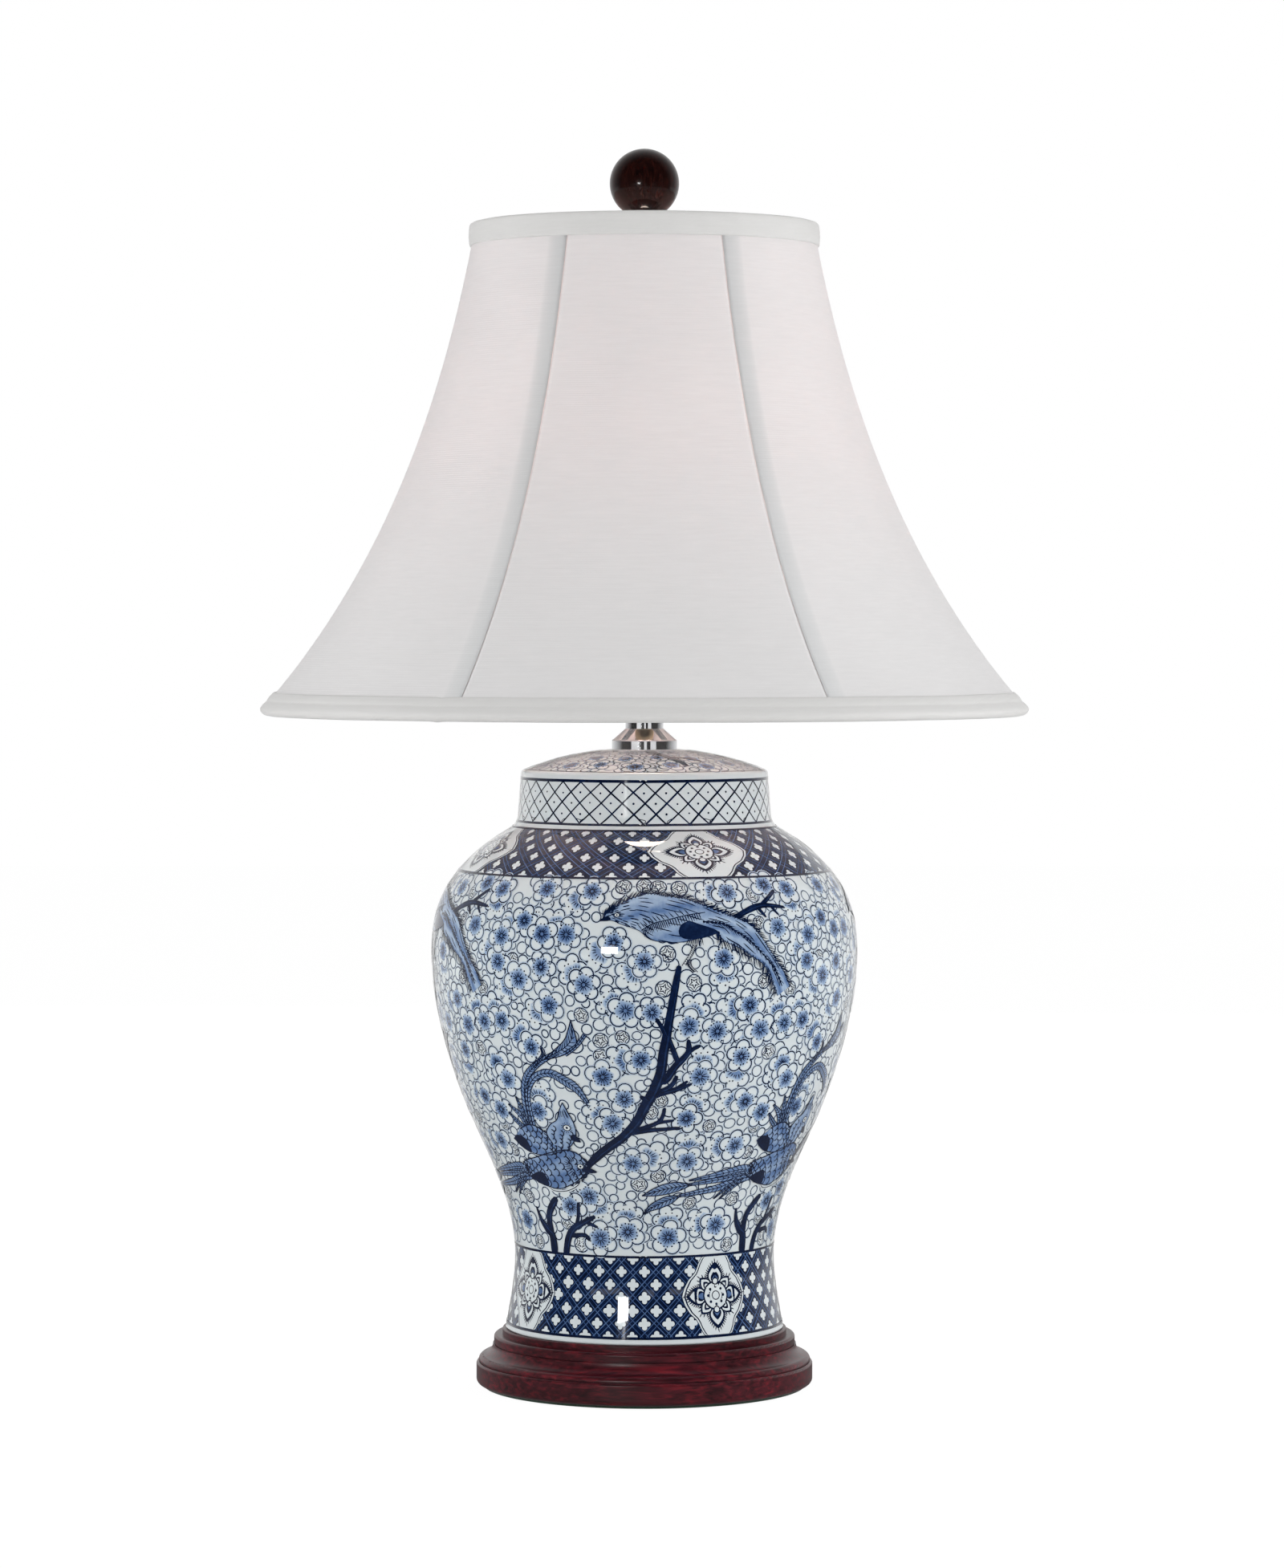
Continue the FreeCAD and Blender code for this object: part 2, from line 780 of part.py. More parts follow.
def globe_outline(inset):
    radius = bulb_globe_radius - inset
    neck = (bulb_neck_radius - inset, bulb_cap_top + bulb_neck_height)
    lean = math.radians(bulb_shoulder_lean)
    shoulder = (radius * math.cos(lean), globe_centre - radius * math.sin(lean))
    flank = Part.BSplineCurve()
    flank.interpolate(
        [point(*neck), point(*shoulder)],
        InitialTangent=FreeCAD.Vector(0, 0, 1),
        FinalTangent=FreeCAD.Vector(math.sin(lean), 0, math.cos(lean)),
    )
    side = (radius * math.cos(lean), globe_centre + radius * math.sin(lean))
    top = (0, globe_centre + radius)
    high = (radius * math.sin(lean), globe_centre + radius * math.cos(lean))
    crown = Part.Arc(point(*side), point(*high), point(*top)).toShape()
    belly = Part.Arc(point(*shoulder), point(radius, globe_centre), point(*side)).toShape()
    return neck, [flank.toShape(), belly, crown], top


def globe_solid(inset, foot):
    neck, edges, top = globe_outline(inset)
    outline = chain([top, (0, foot), (neck[0], foot), neck])
    return turned(outline + edges)


def make_bulb_globe():
    foot = bulb_cap_top - bulb_neck_height / 2
    return globe_solid(0, foot).cut(globe_solid(bulb_glass, foot))


def make_bulb_stem():
    foot = bulb_cap_top - bulb_neck_height / 2
    radius = bulb_neck_radius - bulb_glass - touch_gap
    flare = Part.makeCone(radius, bulb_stem_radius, bulb_neck_height, point(0, foot))
    return flare.fuse(disc(bulb_stem_radius, foot, bulb_cap_top + bulb_stem_height)).removeSplitter()


def make_bulb_filament():
    bottom = bulb_cap_top + bulb_stem_height + lead_radius
    top = bottom + filament_rise
    coil = along_x(filament_radius, -filament_half_width, filament_half_width, top)
    root = bulb_stem_radius - 2 * lead_radius
    for side in (-1, 1):
        foot = point(side * root, bottom)
        run = point(side * filament_half_width, top) - foot
        coil = coil.fuse(Part.makeCylinder(lead_radius, run.Length, foot, run))
    return coil.removeSplitter()


# ---- Shade ----

# The cloth's outer radius: straight under the top trim, then flaring faster
# and faster towards the bottom.
def shade_radius(height):
    if height >= flare_top:
        return shade_top_radius
    share = (flare_top - height) / shade_flare_height
    return shade_top_radius + shade_flare * math.expm1(shade_curl * share) / math.expm1(shade_curl)


# How far the cloth spreads for each millimetre down the flare
def flare_slope(height):
    share = (flare_top - height) / shade_flare_height
    steepness = shade_flare * shade_curl * math.exp(shade_curl * share)
    return steepness / math.expm1(shade_curl) / shade_flare_height


# A place at the given depth inside the cloth's outer face, square to it
def shade_place(height, depth):
    slope = flare_slope(height)
    length = math.hypot(1, slope)
    return (shade_radius(height) - depth / length, height - depth * slope / length)


top_ring_depth = shade_cloth + layer_gap + ring_wire_radius
top_ring_height = shade_top - trim_thickness - layer_gap - shade_cloth - layer_gap - ring_wire_radius
bottom_ring_face = flare_top - shade_flare_height - bottom_ring_drop + ring_wire_radius
lining_depth = shade_cloth + 2 * layer_gap + 2 * rib_wire_radius
rib_depth = shade_cloth + layer_gap + rib_wire_radius
ring_clear = ring_wire_radius + layer_gap


# Stations down the flare, from just under the top trim's edge to the bottom
def flare_stations(bottom, depth):
    stations = []
    for step in range(shade_stations):
        height = flare_top + (bottom - flare_top) * step / (shade_stations - 1)
        stations.append(shade_place(height, depth))
    return stations


def make_cloth(depth, thickness, top, bottom):
    outer = flare_stations(bottom, depth)
    inner = flare_stations(bottom, depth + thickness)
    outer_top = (shade_top_radius - depth, top)
    inner_top = (shade_top_radius - depth - thickness, top)
    outline = [line(outer_top, outer[0]), smooth(outer).toShape(), line(outer[-1], inner[-1])]
    outline += [smooth(inner[::-1]).toShape(), line(inner[0], inner_top), line(inner_top, outer_top)]
    return turned(outline)


def bearing(solid):
    return math.atan2(solid.CenterOfMass.y, solid.CenterOfMass.x)


def make_panels():
    cloth = make_cloth(0, shade_cloth, top_ring_height, bottom_ring_face)
    reach = 2 * (shade_top_radius + shade_flare)
    seam = box((-reach, -seam_gap / 2, 0), (reach, seam_gap / 2, shade_top))
    for turn in range(panel_count // 2):
        cloth = cloth.cut(turn_about_z(seam, 360 / panel_count * turn))
    return sorted(cloth.Solids, key=bearing)


def make_lining():
    top = top_ring_height - ring_clear
    return make_cloth(lining_depth, shade_lining_thickness, top, bottom_ring_face + ring_clear)


def make_top_ring():
    height = top_ring_height
    return Part.makeTorus(shade_top_radius - top_ring_depth, ring_wire_radius, point(0, height))


def bottom_ring_place():
    return shade_place(bottom_ring_face, top_ring_depth)


def make_bottom_ring():
    radius, height = bottom_ring_place()
    return Part.makeTorus(radius, ring_wire_radius, point(0, height))


def make_ribs():
    top = (shade_top_radius - rib_depth, top_ring_height - ring_clear)
    knee = (shade_top_radius - rib_depth, flare_top)
    flare = flare_stations(bottom_ring_face + ring_clear, rib_depth)
    turn = math.atan(flare_slope(flare_top)) / 2
    middle = (shade_top_radius - rib_depth * math.cos(turn), flare_top - rib_depth * math.sin(turn))
    bend = Part.Arc(point(*knee), point(*middle), point(*flare[0])).toShape()
    run = Part.BSplineCurve()
    run.interpolate(
        [point(*station) for station in flare],
        InitialTangent=FreeCAD.Vector(flare_slope(flare_top), 0, -1),
        FinalTangent=FreeCAD.Vector(flare_slope(bottom_ring_face + ring_clear), 0, -1),
    )
    rib = wire_along([line(top, knee), bend, run.toShape()], rib_wire_radius)
    ribs = [turn_about_z(rib, 360 / panel_count * turn) for turn in range(panel_count)]
    return Part.makeCompound(ribs)


def folded_trim(ring, outer_end, inner_end, direction):
    inner_fold = top_ring_depth + layer_gap
    outer_fold = inner_fold + trim_thickness
    across = FreeCAD.Vector(direction[0], 0, direction[1])
    away = FreeCAD.Vector(-direction[1], 0, direction[0])
    if away.z * (outer_end[1] - ring[1]) > 0:
        away = -away
    centre_point = point(*ring)
    legs = []
    for fold in (outer_fold, inner_fold):
        left = centre_point + across * fold
        right = centre_point - across * fold
        legs.append((left, centre_point + away * fold, right))
    outside, inside = legs
    outer_tip = point(*outer_end)
    outer_tip_inside = outer_tip - across * trim_thickness
    inner_tip = point(*inner_end)
    inner_tip_inside = inner_tip + across * trim_thickness
    return [
        Part.makeLine(outer_tip, outside[0]),
        Part.Arc(outside[0], outside[1], outside[2]).toShape(),
        Part.makeLine(outside[2], inner_tip),
        Part.makeLine(inner_tip, inner_tip_inside),
        Part.makeLine(inner_tip_inside, inside[2]),
        Part.Arc(inside[2], inside[1], inside[0]).toShape(),
        Part.makeLine(inside[0], outer_tip_inside),
        Part.makeLine(outer_tip_inside, outer_tip),
    ]


def make_top_trim():
    ring = (shade_top_radius - top_ring_depth, top_ring_height)
    fold = top_ring_depth + layer_gap + trim_thickness
    outer_end = (ring[0] + fold, flare_top)
    inner_end = (ring[0] - fold, top_ring_height - trim_inner_leg)
    trim = turned(folded_trim(ring, outer_end, inner_end, (1, 0)))
    half = arm_wire_radius + slip_clearance
    notch_low = top_ring_height - trim_inner_leg
    notch = box((ring[0] - fold - half, -half, notch_low), (ring[0], half, top_ring_height + half))
    for arm in range(arm_count):
        trim = trim.cut(turn_about_z(notch, arm_bearing(arm)))
    return trim


def make_bottom_trim():
    ring = bottom_ring_place()
    face = (shade_radius(bottom_ring_face), bottom_ring_face)
    depth = top_ring_depth
    direction = ((face[0] - ring[0]) / depth, (face[1] - ring[1]) / depth)
    fold = top_ring_depth + layer_gap + trim_thickness
    along = (-direction[1], direction[0])
    outer = (ring[0] + direction[0] * fold, ring[1] + direction[1] * fold)
    outer_end = (outer[0] + along[0] * bottom_trim_height, outer[1] + along[1] * bottom_trim_height)
    inner = (ring[0] - direction[0] * fold, ring[1] - direction[1] * fold)
    inner_end = (inner[0] + along[0] * trim_inner_leg, inner[1] + along[1] * trim_inner_leg)
    return turned(folded_trim(ring, outer_end, inner_end, direction))


def make_hub():
    return tube(hub_radius, stud_radius + hub_clearance, hub_seat, hub_top)


def arm_bearing(arm):
    return first_arm_bearing + 360 / arm_count * arm


def make_arm(arm):
    middle = (hub_seat + hub_top) / 2
    start = point(hub_radius + touch_gap, middle)
    knee = point(arm_bend_radius, middle)
    end = point(shade_top_radius - top_ring_depth - ring_clear, top_ring_height)
    rise = end - knee
    turn = math.atan2(rise.z, rise.x)
    reach = arm_bend * math.tan(turn / 2)
    leave = knee - FreeCAD.Vector(reach, 0, 0)
    join = knee + rise * (reach / rise.Length)
    arc_middle = leave + point(arm_bend * math.sin(turn / 2), arm_bend * (1 - math.cos(turn / 2)))
    elbow = Part.Arc(leave, arc_middle, join).toShape()
    path = [Part.makeLine(start, leave), elbow, Part.makeLine(join, end)]
    return turn_about_z(wire_along(path, arm_wire_radius), arm_bearing(arm))


# ---- Finial ----

def make_finial_bush():
    bush = disc(bush_radius, hub_top, hub_top + bush_length)
    return bush.cut(disc(stud_radius + thread_clearance, hub_top, hub_top + bush_bore_depth))


def make_finial_ball():
    ball = Part.makeSphere(finial_ball_radius, point(0, hub_top + finial_ball_height))
    neck = disc(finial_neck_radius, hub_top + bush_stand_off, hub_top + finial_ball_height)
    finial = ball.fuse(neck).removeSplitter()
    drop = math.sqrt(finial_ball_radius ** 2 - finial_neck_radius ** 2)
    meeting = hub_top + finial_ball_height - drop
    finial = round_rim(finial, finial_neck_radius, meeting, finial_neck_fillet)
    return finial.cut(disc(bush_radius + touch_gap, hub_top, hub_top + bush_length + touch_gap))


# ---- Build every piece ----

os.makedirs("parts", exist_ok=True)

save("base_felt", make_felt())
save("wood_base", make_wood_base())
save("cord_bushing", make_cord_bushing())
save("threaded_rod", make_rod())
save("rod_washer", make_rod_washer())
save("rod_nut", make_rod_nut())
save("porcelain_jar", make_jar())
save("jar_seat_gasket", make_jar_seat_gasket())
save("jar_top_gasket", make_jar_top_gasket())
save("neck_ring", make_neck_ring())
save("neck_tube", make_neck_tube())
save("harp_saddle", make_saddle())
save("harp_wire", make_harp_wire())
save("harp_stud", make_harp_stud())
save("harp_sleeve_left", make_sleeve(-1))
save("harp_sleeve_right", make_sleeve(1))
save("socket_cap", make_socket_cap())
save("socket_set_screw", make_set_screw())
save("socket_shell", make_socket_shell())
save("socket_liner", make_socket_liner())
save("socket_body", make_socket_body())
save("terminal_screw_left", make_terminal_screw(-1))
save("terminal_screw_right", make_terminal_screw(1))
save("socket_screw_shell", make_screw_shell())
save("socket_center_contact", make_center_contact())
save("switch_shaft", make_switch_shaft())
save("switch_knob", make_switch_knob())
save("bulb_tip", make_bulb_tip())
save("bulb_insulator", make_bulb_insulator())
save("bulb_cap", make_bulb_cap())
save("bulb_globe", make_bulb_globe())
save("bulb_stem", make_bulb_stem())
save("bulb_filament", make_bulb_filament())
for number, panel in enumerate(make_panels(), 1):
    save("shade_panel_" + str(number), panel)
save("shade_lining", make_lining())
save("shade_top_ring", make_top_ring())
save("shade_bottom_ring", make_bottom_ring())
save("shade_ribs", make_ribs())
save("shade_top_trim", make_top_trim())
save("shade_bottom_trim", make_bottom_trim())
save("shade_hub", make_hub())
for arm in range(arm_count):
    save("shade_arm_" + str(arm + 1), make_arm(arm))
save("finial_bush", make_finial_bush())
save("finial_ball", make_finial_ball())
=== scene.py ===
import math
import random

import bpy
import numpy as np
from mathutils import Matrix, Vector


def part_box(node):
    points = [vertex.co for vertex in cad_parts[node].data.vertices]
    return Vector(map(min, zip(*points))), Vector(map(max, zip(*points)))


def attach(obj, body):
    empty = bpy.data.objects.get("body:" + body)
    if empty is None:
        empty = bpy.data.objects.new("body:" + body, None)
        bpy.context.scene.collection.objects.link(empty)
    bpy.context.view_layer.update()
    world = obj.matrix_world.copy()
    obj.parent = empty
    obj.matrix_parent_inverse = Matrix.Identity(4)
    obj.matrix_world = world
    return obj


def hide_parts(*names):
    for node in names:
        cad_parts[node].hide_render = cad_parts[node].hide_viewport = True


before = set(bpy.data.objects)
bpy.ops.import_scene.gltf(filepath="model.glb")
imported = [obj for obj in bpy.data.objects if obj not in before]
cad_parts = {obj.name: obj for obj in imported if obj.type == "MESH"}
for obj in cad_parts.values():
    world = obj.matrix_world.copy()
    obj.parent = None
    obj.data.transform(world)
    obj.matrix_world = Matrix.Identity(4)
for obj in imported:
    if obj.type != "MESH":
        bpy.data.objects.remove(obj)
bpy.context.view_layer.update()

mm = 0.001
random.seed(11)
print("frame loaded:", len(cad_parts), "nodes")

scene = bpy.context.scene
scene.view_settings.view_transform = "Standard"


# Node helpers

def addNode(tree, kind, inputs=None, **settings):
    node = tree.nodes.new(kind)
    for name, value in settings.items():
        setattr(node, name, value)
    for socket, value in (inputs or {}).items():
        if isinstance(value, bpy.types.NodeSocket):
            tree.links.new(value, node.inputs[socket])
        else:
            node.inputs[socket].default_value = value
    return node


def compute(tree, operation, first, second):
    return addNode(tree, "ShaderNodeMath", {0: first, 1: second}, operation=operation).outputs[0]


def mixValue(tree, share, first, second):
    return addNode(tree, "ShaderNodeMix", {0: share, 2: first, 3: second}).outputs[0]


def mixShader(tree, share, first, second):
    return addNode(tree, "ShaderNodeMixShader", {0: share, 1: first, 2: second}).outputs[0]


def scaled(tree, factor, low, high, first=0.0, last=1.0):
    return addNode(tree, "ShaderNodeMapRange", {0: factor, 1: first, 2: last, 3: low,
                                                4: high}).outputs[0]


def objectSpot(tree):
    return addNode(tree, "ShaderNodeTexCoord").outputs["Object"]


def axis(tree, spot, letter):
    return addNode(tree, "ShaderNodeSeparateXYZ", {0: spot}).outputs[letter]


def grey(value):
    return (value, value, value)


# Studio: camera as the photographer stood, white paper behind and below

studio = {
    "cameraDistance": 2.88,
    "cameraHeight": 0.435,
    "cameraSide": -0.00136,
    "cameraTilt": 1.89,  # degrees down
    "lens": 117.3,
    "sensor": 36,
    "roomLight": 0.36,
    "mirrorDark": 0.012,  # what polished surfaces see on the camera's side
    "mirrorPale": 0.78,  # and of the white sweep behind the lamp
    "mirrorSweep": (-0.1, 0.8),  # the way from one to the other
    "lampMiddle": (0, 0, 0.33),
    "neckMiddle": (0, 0, 0.36),
    "boxes": {
        "frontBox": {"place": (-0.90, -2.75, 0.495), "size": (0.44, 0.21), "power": 10,
                     "mirrored": True},
        "collarGlint": {"place": (-0.84, -2.75, 0.632), "size": (0.12, 0.06), "power": 0.09,
                        "mirrored": True},
        "leftBox": {"place": (-2.1, -0.8, 0.68), "size": (1.5, 1.5), "power": 23},
        "rightBox": {"place": (2.1, -0.8, 0.68), "size": (1.5, 1.5), "power": 32},
        "backBox": {"place": (0.3, 2.5, 0.95), "size": (1.7, 1.4), "power": 17},
        "topBox": {"place": (0.0, -0.3, 2.3), "size": (1.6, 1.6), "power": 6},
    },
    # white cards that only the chrome sees: how far to the side, and how wide
    "cards": {"cardLeft": (-1.75, 1.5), "cardMiddle": (0.16, 0.42), "cardRight": (1.60, 1.1)},
    "cardPlace": (-2.6, 0.30),  # depth and height of all three
    "cardTall": 0.11,
    "cardGlow": 0.34,
}
paper = {
    "reach": 6.0,
    "sink": 0.0002,  # lies just under the felt
    "tone": 0.9,
    "glow": 1.045,
    "glowShare": 0.93,  # the rest takes the lamp's shadow
    # how pale it looks in the glaze: by distance from the lamp, and by depth behind it
    "nearPale": {"low": 0.22, "high": 0.02, "first": 0.16, "last": 0.50},
    "backPale": {"low": 0.0, "high": 0.78, "first": 0.0, "last": 0.7},
}


def setCamera():
    lens = bpy.data.cameras.new("photoCamera")
    lens.lens = studio["lens"]
    lens.sensor_width = studio["sensor"]
    camera = bpy.data.objects.new("photoCamera", lens)
    camera.location = (studio["cameraSide"], -studio["cameraDistance"], studio["cameraHeight"])
    camera.rotation_euler = (math.radians(90 - studio["cameraTilt"]), 0, 0)
    scene.collection.objects.link(camera)
    scene.camera = camera


def softBox(name, place, size, power, mirrored=False, target=studio["lampMiddle"]):
    light = bpy.data.lights.new(name, "AREA")
    light.shape = "RECTANGLE"
    light.size, light.size_y = size
    light.energy = power
    box = bpy.data.objects.new(name, light)
    box.location = place
    box.rotation_euler = (Vector(target) - Vector(place)).to_track_quat("-Z", "Y").to_euler()
    box.visible_glossy = mirrored
    scene.collection.objects.link(box)
    return box


def setLights():
    for name, look in studio["boxes"].items():
        softBox(name, **look)
    for name, (aside, wide) in studio["cards"].items():
        card = softBox(name, (aside, *studio["cardPlace"]), (wide, studio["cardTall"]),
                       studio["cardGlow"] * wide, True, studio["neckMiddle"])
        card.visible_diffuse = False


def whiteRays(tree, rays):
    # one for the rays that should see white paper: camera and glass rays
    return compute(tree, "MAXIMUM", rays.outputs["Is Camera Ray"],
                   rays.outputs["Is Transmission Ray"])


def setRoom():
    world = bpy.data.worlds.new("whiteRoom")
    scene.world = world
    world.use_nodes = True
    tree = world.node_tree
    tree.nodes.clear()
    rays = addNode(tree, "ShaderNodeLightPath")
    # polished surfaces see a dark room on one side and the pale sweep on the other
    way = addNode(tree, "ShaderNodeTexCoord").outputs["Generated"]
    mirrored = scaled(tree, axis(tree, way, "Y"), studio["mirrorDark"], studio["mirrorPale"],
                      *studio["mirrorSweep"])
    lit = mixValue(tree, rays.outputs["Is Glossy Ray"], studio["roomLight"], mirrored)
    shown = mixValue(tree, whiteRays(tree, rays), lit, 1.0)
    room = addNode(tree, "ShaderNodeBackground", {"Color": (1, 1, 1, 1), "Strength": shown})
    addNode(tree, "ShaderNodeOutputWorld", {0: room.outputs[0]})


def makePaper():
    material = bpy.data.materials.new("whitePaper")
    material.use_nodes = True
    tree = material.node_tree
    tree.nodes.clear()
    rays = addNode(tree, "ShaderNodeLightPath")
    matt = addNode(tree, "ShaderNodeBsdfDiffuse", {"Color": (*grey(paper["tone"]), 1)})
    glow = addNode(tree, "ShaderNodeEmission", {"Strength": paper["glow"]})
    share = compute(tree, "MULTIPLY", whiteRays(tree, rays), paper["glowShare"])
    white = mixShader(tree, share, matt.outputs[0], glow.outputs[0])
    # in the glaze the paper in front stays dark and the paper behind shows pale
    spot = objectSpot(tree)
    away = addNode(tree, "ShaderNodeVectorMath", {0: spot}, operation="LENGTH").outputs["Value"]
    pale = compute(tree, "MAXIMUM", scaled(tree, away, **paper["nearPale"]),
                   scaled(tree, axis(tree, spot, "Y"), **paper["backPale"]))
    seen = addNode(tree, "ShaderNodeEmission", {"Strength": pale})
    final = mixShader(tree, rays.outputs["Is Glossy Ray"], white, seen.outputs[0])
    # a camera under the table looks through the paper at the felt and into the shade
    below = addNode(tree, "ShaderNodeNewGeometry").outputs["Backfacing"]
    under = compute(tree, "MULTIPLY", below, rays.outputs["Is Camera Ray"])
    clear = addNode(tree, "ShaderNodeBsdfTransparent")
    shown = mixShader(tree, under, final, clear.outputs[0])
    addNode(tree, "ShaderNodeOutputMaterial", {0: shown})
    return material


def setFloor():
    mesh = bpy.data.meshes.new("paperFloor")
    far = paper["reach"]
    mesh.from_pydata([(-far, -far, 0), (far, -far, 0), (far, far, 0), (-far, far, 0)],
                     [], [(0, 1, 2, 3)])
    mesh.materials.append(makePaper())
    floor = bpy.data.objects.new("paperFloor", mesh)
    floor.location.z = -paper["sink"]
    scene.collection.objects.link(floor)


setCamera()
setRoom()
setFloor()
setLights()
print("studio ready")


# Helpers for the finishes and the meshes

def newFinish(name, values):
    material = bpy.data.materials.new(name)
    material.use_nodes = True
    shader = material.node_tree.nodes["Principled BSDF"]
    for socket, value in values.items():
        shader.inputs[socket].default_value = value
    return material, material.node_tree, shader


def places(tree, stretch=(1, 1, 1)):
    return addNode(tree, "ShaderNodeMapping", {"Vector": objectSpot(tree),
                                               "Scale": stretch}).outputs[0]


def noise(tree, scale, detail=3.0, stretch=(1, 1, 1), rough=0.5, twist=0.0):
    return addNode(tree, "ShaderNodeTexNoise", {"Vector": places(tree, stretch), "Scale": scale,
                                                "Detail": detail, "Roughness": rough,
                                                "Distortion": twist}).outputs[0]


def ramp(tree, factor, stops):
    node = addNode(tree, "ShaderNodeValToRGB", {0: factor})
    band = node.color_ramp
    while len(band.elements) < len(stops):
        band.elements.new(0.5)
    for element, (place, colour) in zip(band.elements, stops):
        element.position = place
        element.color = (*colour, 1) if len(colour) == 3 else colour
    return node.outputs[0]


def mixColour(tree, factor, first, second, blend="MIX"):
    node = addNode(tree, "ShaderNodeMix", data_type="RGBA", blend_type=blend)
    for socket, value in ((0, factor), (6, first), (7, second)):
        if isinstance(value, bpy.types.NodeSocket):
            tree.links.new(value, node.inputs[socket])
        elif socket == 0:
            node.inputs[0].default_value = value
        else:
            node.inputs[socket].default_value = (*value, 1)
    return node.outputs[2]


def bump(tree, shader, factor, strength, depth):
    node = addNode(tree, "ShaderNodeBump", {"Height": factor, "Strength": strength,
                                            "Distance": depth})
    tree.links.new(node.outputs[0], shader.inputs["Normal"])


def join(tree, value, shader, socket):
    tree.links.new(value, shader.inputs[socket])


def speckled(tree, factor, tone, share):
    # the tone, and a darker share of it where the noise is low
    return ramp(tree, factor, [(0.3, tuple(share * c for c in tone)), (0.7, tone)])


def smoothMesh(name, verts, faces, material, body, sharp, normals=None, values=None):
    # one dressed piece, riding a body; values are named numbers per point for its material
    mesh = bpy.data.meshes.new(name)
    mesh.from_pydata([tuple(v) for v in verts], [], [tuple(f) for f in faces])
    mesh.validate()
    mesh.polygons.foreach_set("use_smooth", np.ones(len(mesh.polygons), bool))
    if sharp < 180:
        mesh.set_sharp_from_angle(angle=math.radians(sharp))
    for label, data in (values or {}).items():
        layer = mesh.attributes.new(label, "FLOAT", "POINT")
        layer.data.foreach_set("value", np.asarray(data, np.float32))
    if normals is not None:
        mesh.normals_split_custom_set_from_vertices([tuple(n) for n in normals])
    mesh.materials.append(material)
    piece = bpy.data.objects.new(name, mesh)
    scene.collection.objects.link(piece)
    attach(piece, body)
    return piece


def ringFaces(rows, around):
    # quads of a closed lathe: rows of points, each going once around
    faces = []
    for row in range(rows):
        low, high = row * around, ((row + 1) % rows) * around
        for k in range(around):
            after = (k + 1) % around
            faces.append((low + k, low + after, high + after, high + k))
    return faces


def lathe(outline, around, wobble=None):
    points = np.array(outline, float)
    turns = np.linspace(0, 2 * math.pi, around, endpoint=False)
    radius = np.repeat(points[:, 0], around)
    height = np.repeat(points[:, 1], around)
    angle = np.tile(turns, len(points))
    if wobble is not None:
        radius, height = wobble(radius, height, angle)
    return np.stack([radius * np.sin(angle), -radius * np.cos(angle), height], 1)


# Finishes of the hard pieces

metalFinish = {
    "chrome": {"colour": (0.80, 0.81, 0.83), "rough": (0.04, 0.10), "metallic": 0.93},
    "nickel": {"colour": (0.70, 0.68, 0.64), "rough": (0.14, 0.28)},
    "zinc": {"colour": (0.62, 0.63, 0.64), "rough": (0.25, 0.45)},
    "socketBrass": {"colour": (0.62, 0.49, 0.30), "rough": (0.22, 0.38)},
    "contactBrass": {"colour": (0.78, 0.58, 0.27), "rough": (0.20, 0.38)},
    "bulbAluminium": {"colour": (0.78, 0.78, 0.77), "rough": (0.22, 0.40)},
    "filamentSteel": {"colour": (0.45, 0.44, 0.43), "rough": (0.30, 0.45)},
}


def makeMetal(name):
    look = metalFinish[name]
    material, tree, shader = newFinish(name, {"Metallic": look.get("metallic", 1.0)})
    wide = noise(tree, 45, 4)
    fine = noise(tree, 900, 2, (1, 1, 0.05))
    join(tree, speckled(tree, wide, look["colour"], 0.90), shader, "Base Color")
    join(tree, scaled(tree, wide, *look["rough"], 0.25, 0.75), shader, "Roughness")
    bump(tree, shader, fine, 0.03, 0.0001)
    return material


woodFinish = {
    "baseWood": {"shine": {"Specular IOR Level": 0.35, "Coat Weight": 0.18,
                           "Coat Roughness": 0.28},
                 "grain": (34, 6, (1, 9, 14), 0.62, 0.6),
                 "grainTones": [(0.32, (0.022, 0.0035, 0.0060)), (0.52, (0.070, 0.0065, 0.0125)),
                                (0.74, (0.200, 0.0090, 0.0180))],
                 "pores": (420, 2, (0.10, 1, 1.2), 0.6),
                 "poreTones": [(0.36, grey(0.45)), (0.44, grey(1.0))],
                 "poreShare": 0.6, "poreDepth": 0.10, "rough": (0.24, 0.42),
                 "clouds": [(0.35, grey(0.55)), (0.65, grey(1.1))]},
    "ballWood": {"shine": {"Specular IOR Level": 0.1, "Coat Weight": 0.35,
                           "Coat Roughness": 0.06},
                 "grain": (60, 6, (8, 8, 1.2), 0.6, 0.8),
                 "grainTones": [(0.35, (0.0050, 0.0018, 0.0020)), (0.7, (0.0240, 0.0050, 0.0034))],
                 "pores": (700, 2, (1, 1, 0.12), 0.6),
                 "poreTones": [(0.36, grey(0.4)), (0.46, grey(1.0))],
                 "poreShare": 0.5, "poreDepth": 0.0, "rough": (0.16, 0.30)},
}


def makeWood(name):
    look = woodFinish[name]
    material, tree, shader = newFinish(name, look["shine"])
    grain = noise(tree, *look["grain"])
    pores = noise(tree, *look["pores"])
    colour = ramp(tree, grain, look["grainTones"])
    if "clouds" in look:
        clouds = ramp(tree, noise(tree, 16, 3, (1.4, 1, 3)), look["clouds"])
        colour = mixColour(tree, 1.0, colour, clouds, "MULTIPLY")
    dots = ramp(tree, pores, look["poreTones"])
    join(tree, mixColour(tree, look["poreShare"], colour, dots, "MULTIPLY"), shader, "Base Color")
    join(tree, scaled(tree, grain, *look["rough"]), shader, "Roughness")
    bump(tree, shader, pores, look["poreDepth"], 0.0003)
    return material


